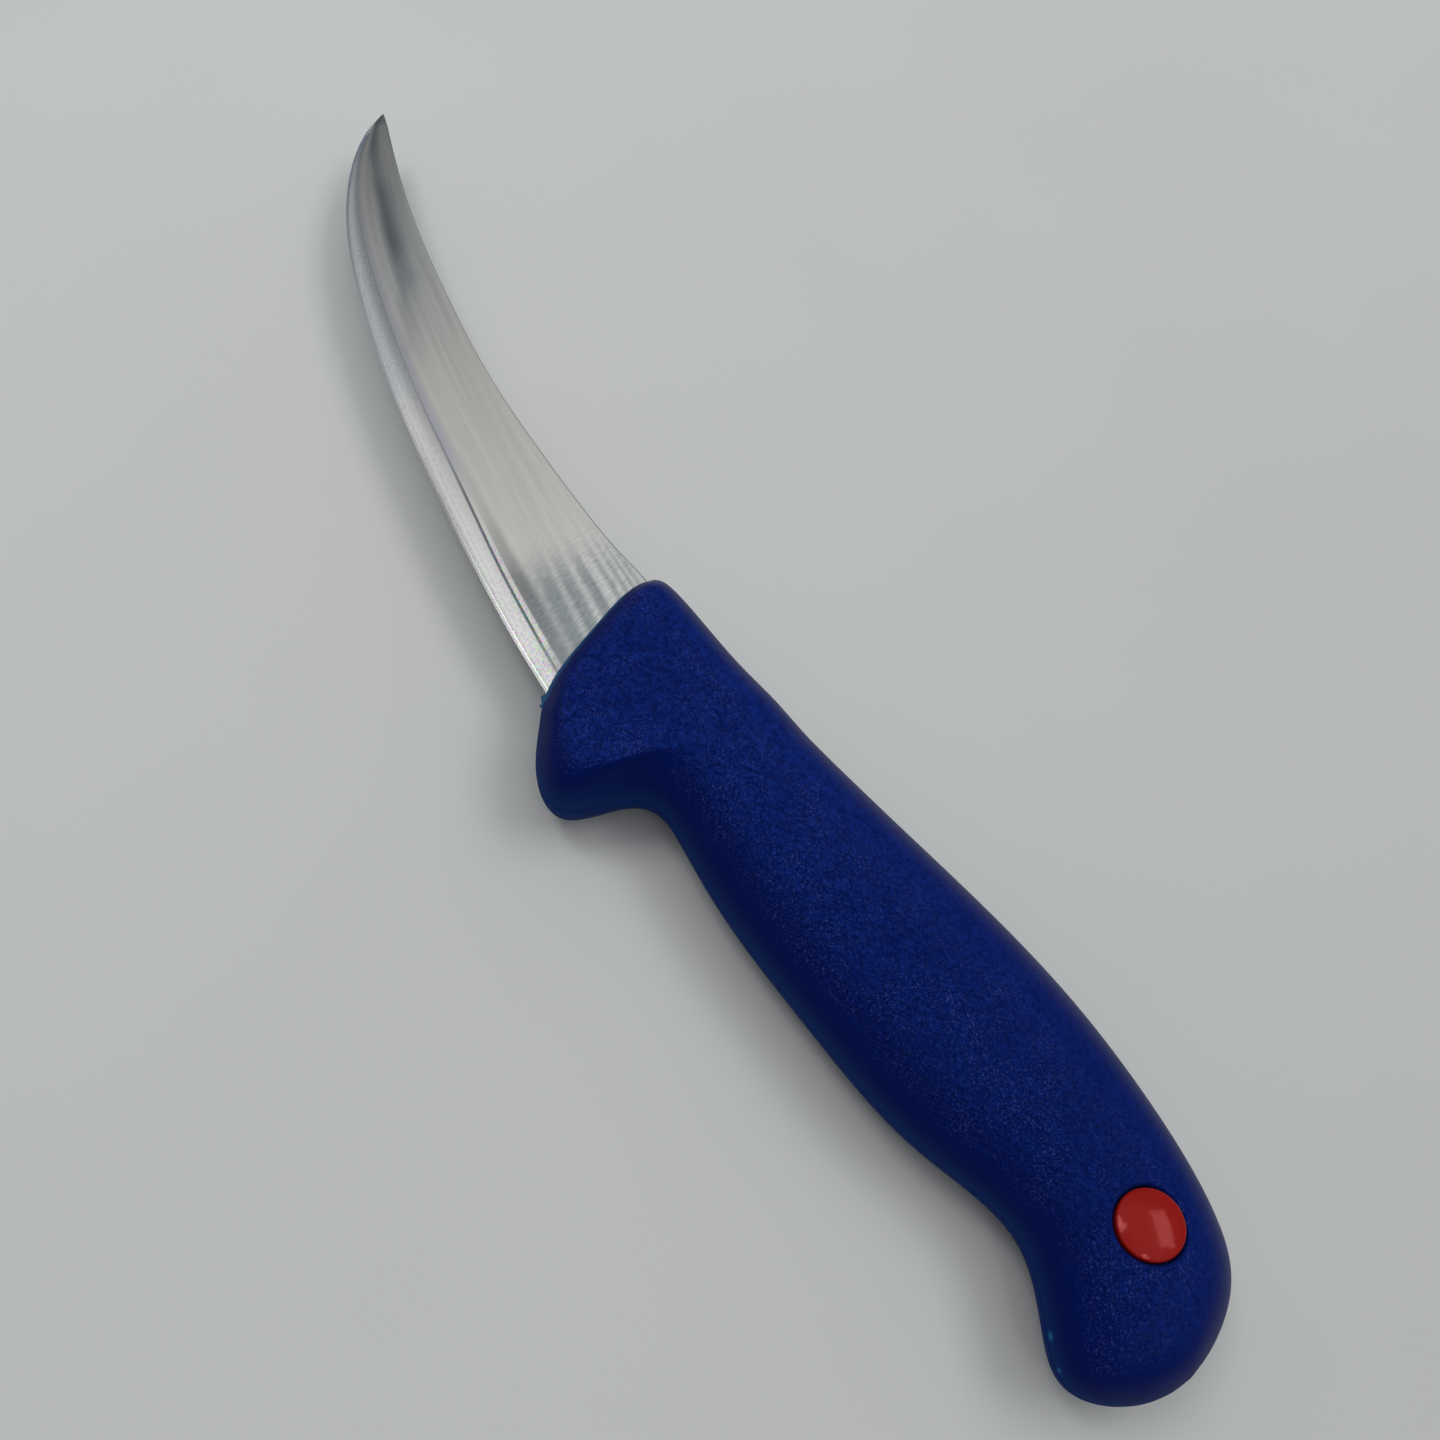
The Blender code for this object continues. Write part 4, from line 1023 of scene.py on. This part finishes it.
# Light: a soft panel overhead towards the tip, a window-like box beyond the spine side, a
# small one behind the butt, and a dim room.
def softbox(name, azimuth, elevation, distance, size, radiance, spin=0.0):
    """Rectangular lamp facing the knife, set by its direction, size and brightness."""
    data = bpy.data.lights.new(name, "AREA")
    data.shape = "RECTANGLE"
    data.size, data.size_y = size
    data.energy = radiance * np.pi * size[0] * size[1]
    lamp = bpy.data.objects.new(name, data)
    az, el = np.radians((azimuth, elevation))
    toward = Vector((np.cos(az) * np.cos(el), np.sin(az) * np.cos(el), np.sin(el)))
    lamp.location = toward * distance
    turn = toward.to_track_quat("Z", "Y") @ Quaternion((0.0, 0.0, 1.0), np.radians(spin))
    lamp.rotation_euler = turn.to_euler()
    bpy.context.scene.collection.objects.link(lamp)


softbox("overhead_panel", 30.0, 66.0, 2.0, (0.45, 0.68), 5.4, spin=-42.0)
softbox("window_box", -114.0, 60.0, 2.4, (1.55, 0.8), 2.6)
softbox("small_box", 162.0, 64.0, 2.4, (0.25, 0.25), 6.0)

# The room is brightest high up and dims towards the walls, as under a white ceiling, and
# it is dark behind whoever works at the table.
ROOM_LEVELS = ((0.0, 0.3), (0.45, 0.3), (0.62, 0.28), (0.72, 0.44), (0.8, 0.6), (0.89, 0.98),
               (0.96, 0.95), (1.0, 0.85))
DARK_SIDE = 105.0               # degrees, the way that the dark side lies
DARK_SIDE_LEVEL = 0.6
ROOM_FULL = 1.4                 # brightness that the ramp's white stands for
world = bpy.data.worlds.new("room")
bpy.context.scene.world = world
world.use_nodes = True
tree = world.node_tree
tree.nodes.clear()
way = add(tree, "TexCoord").outputs["Generated"]
up = add(tree, "SeparateXYZ", {0: way}).outputs[2]
ceiling = add(tree, "ValToRGB", {0: up})
for number, (height, level) in enumerate(ROOM_LEVELS):
    stops = ceiling.color_ramp.elements
    stop = stops[number] if number < 2 else stops.new(height)
    stop.position = height
    stop.color = (level / ROOM_FULL,) * 3 + (1.0,)
dark_way = (np.cos(np.radians(DARK_SIDE)), np.sin(np.radians(DARK_SIDE)), 0.0)
facing_dark = add(tree, "VectorMath", {0: way, 1: dark_way}, operation="DOT_PRODUCT").outputs["Value"]
side = add(tree, "MapRange", {"Value": facing_dark, "From Min": -0.05, "From Max": 0.55, "To Min": 1.0,
                              "To Max": DARK_SIDE_LEVEL}, interpolation_type="SMOOTHSTEP").outputs[0]
wall_tint = add(tree, "MapRange", {"Value": up, "From Min": 0.3, "From Max": 0.6}).outputs[0]
tinted_room = add(tree, "Mix", {"Factor": wall_tint, 6: linear("D4E0F0"), 7: linear("FFFFFF")},
                  data_type="RGBA").outputs[2]
shaded = add(tree, "Mix", {"Factor": 1.0, 6: ceiling.outputs[0], 7: tinted_room}, data_type="RGBA",
             blend_type="MULTIPLY").outputs[2]
strength = add(tree, "Math", {0: side, 1: ROOM_FULL}, operation="MULTIPLY").outputs[0]
sky = add(tree, "Background", {"Color": shaded, "Strength": strength})
add(tree, "OutputWorld", {"Surface": sky.outputs[0]})
bpy.context.scene.view_settings.view_transform = "Standard"
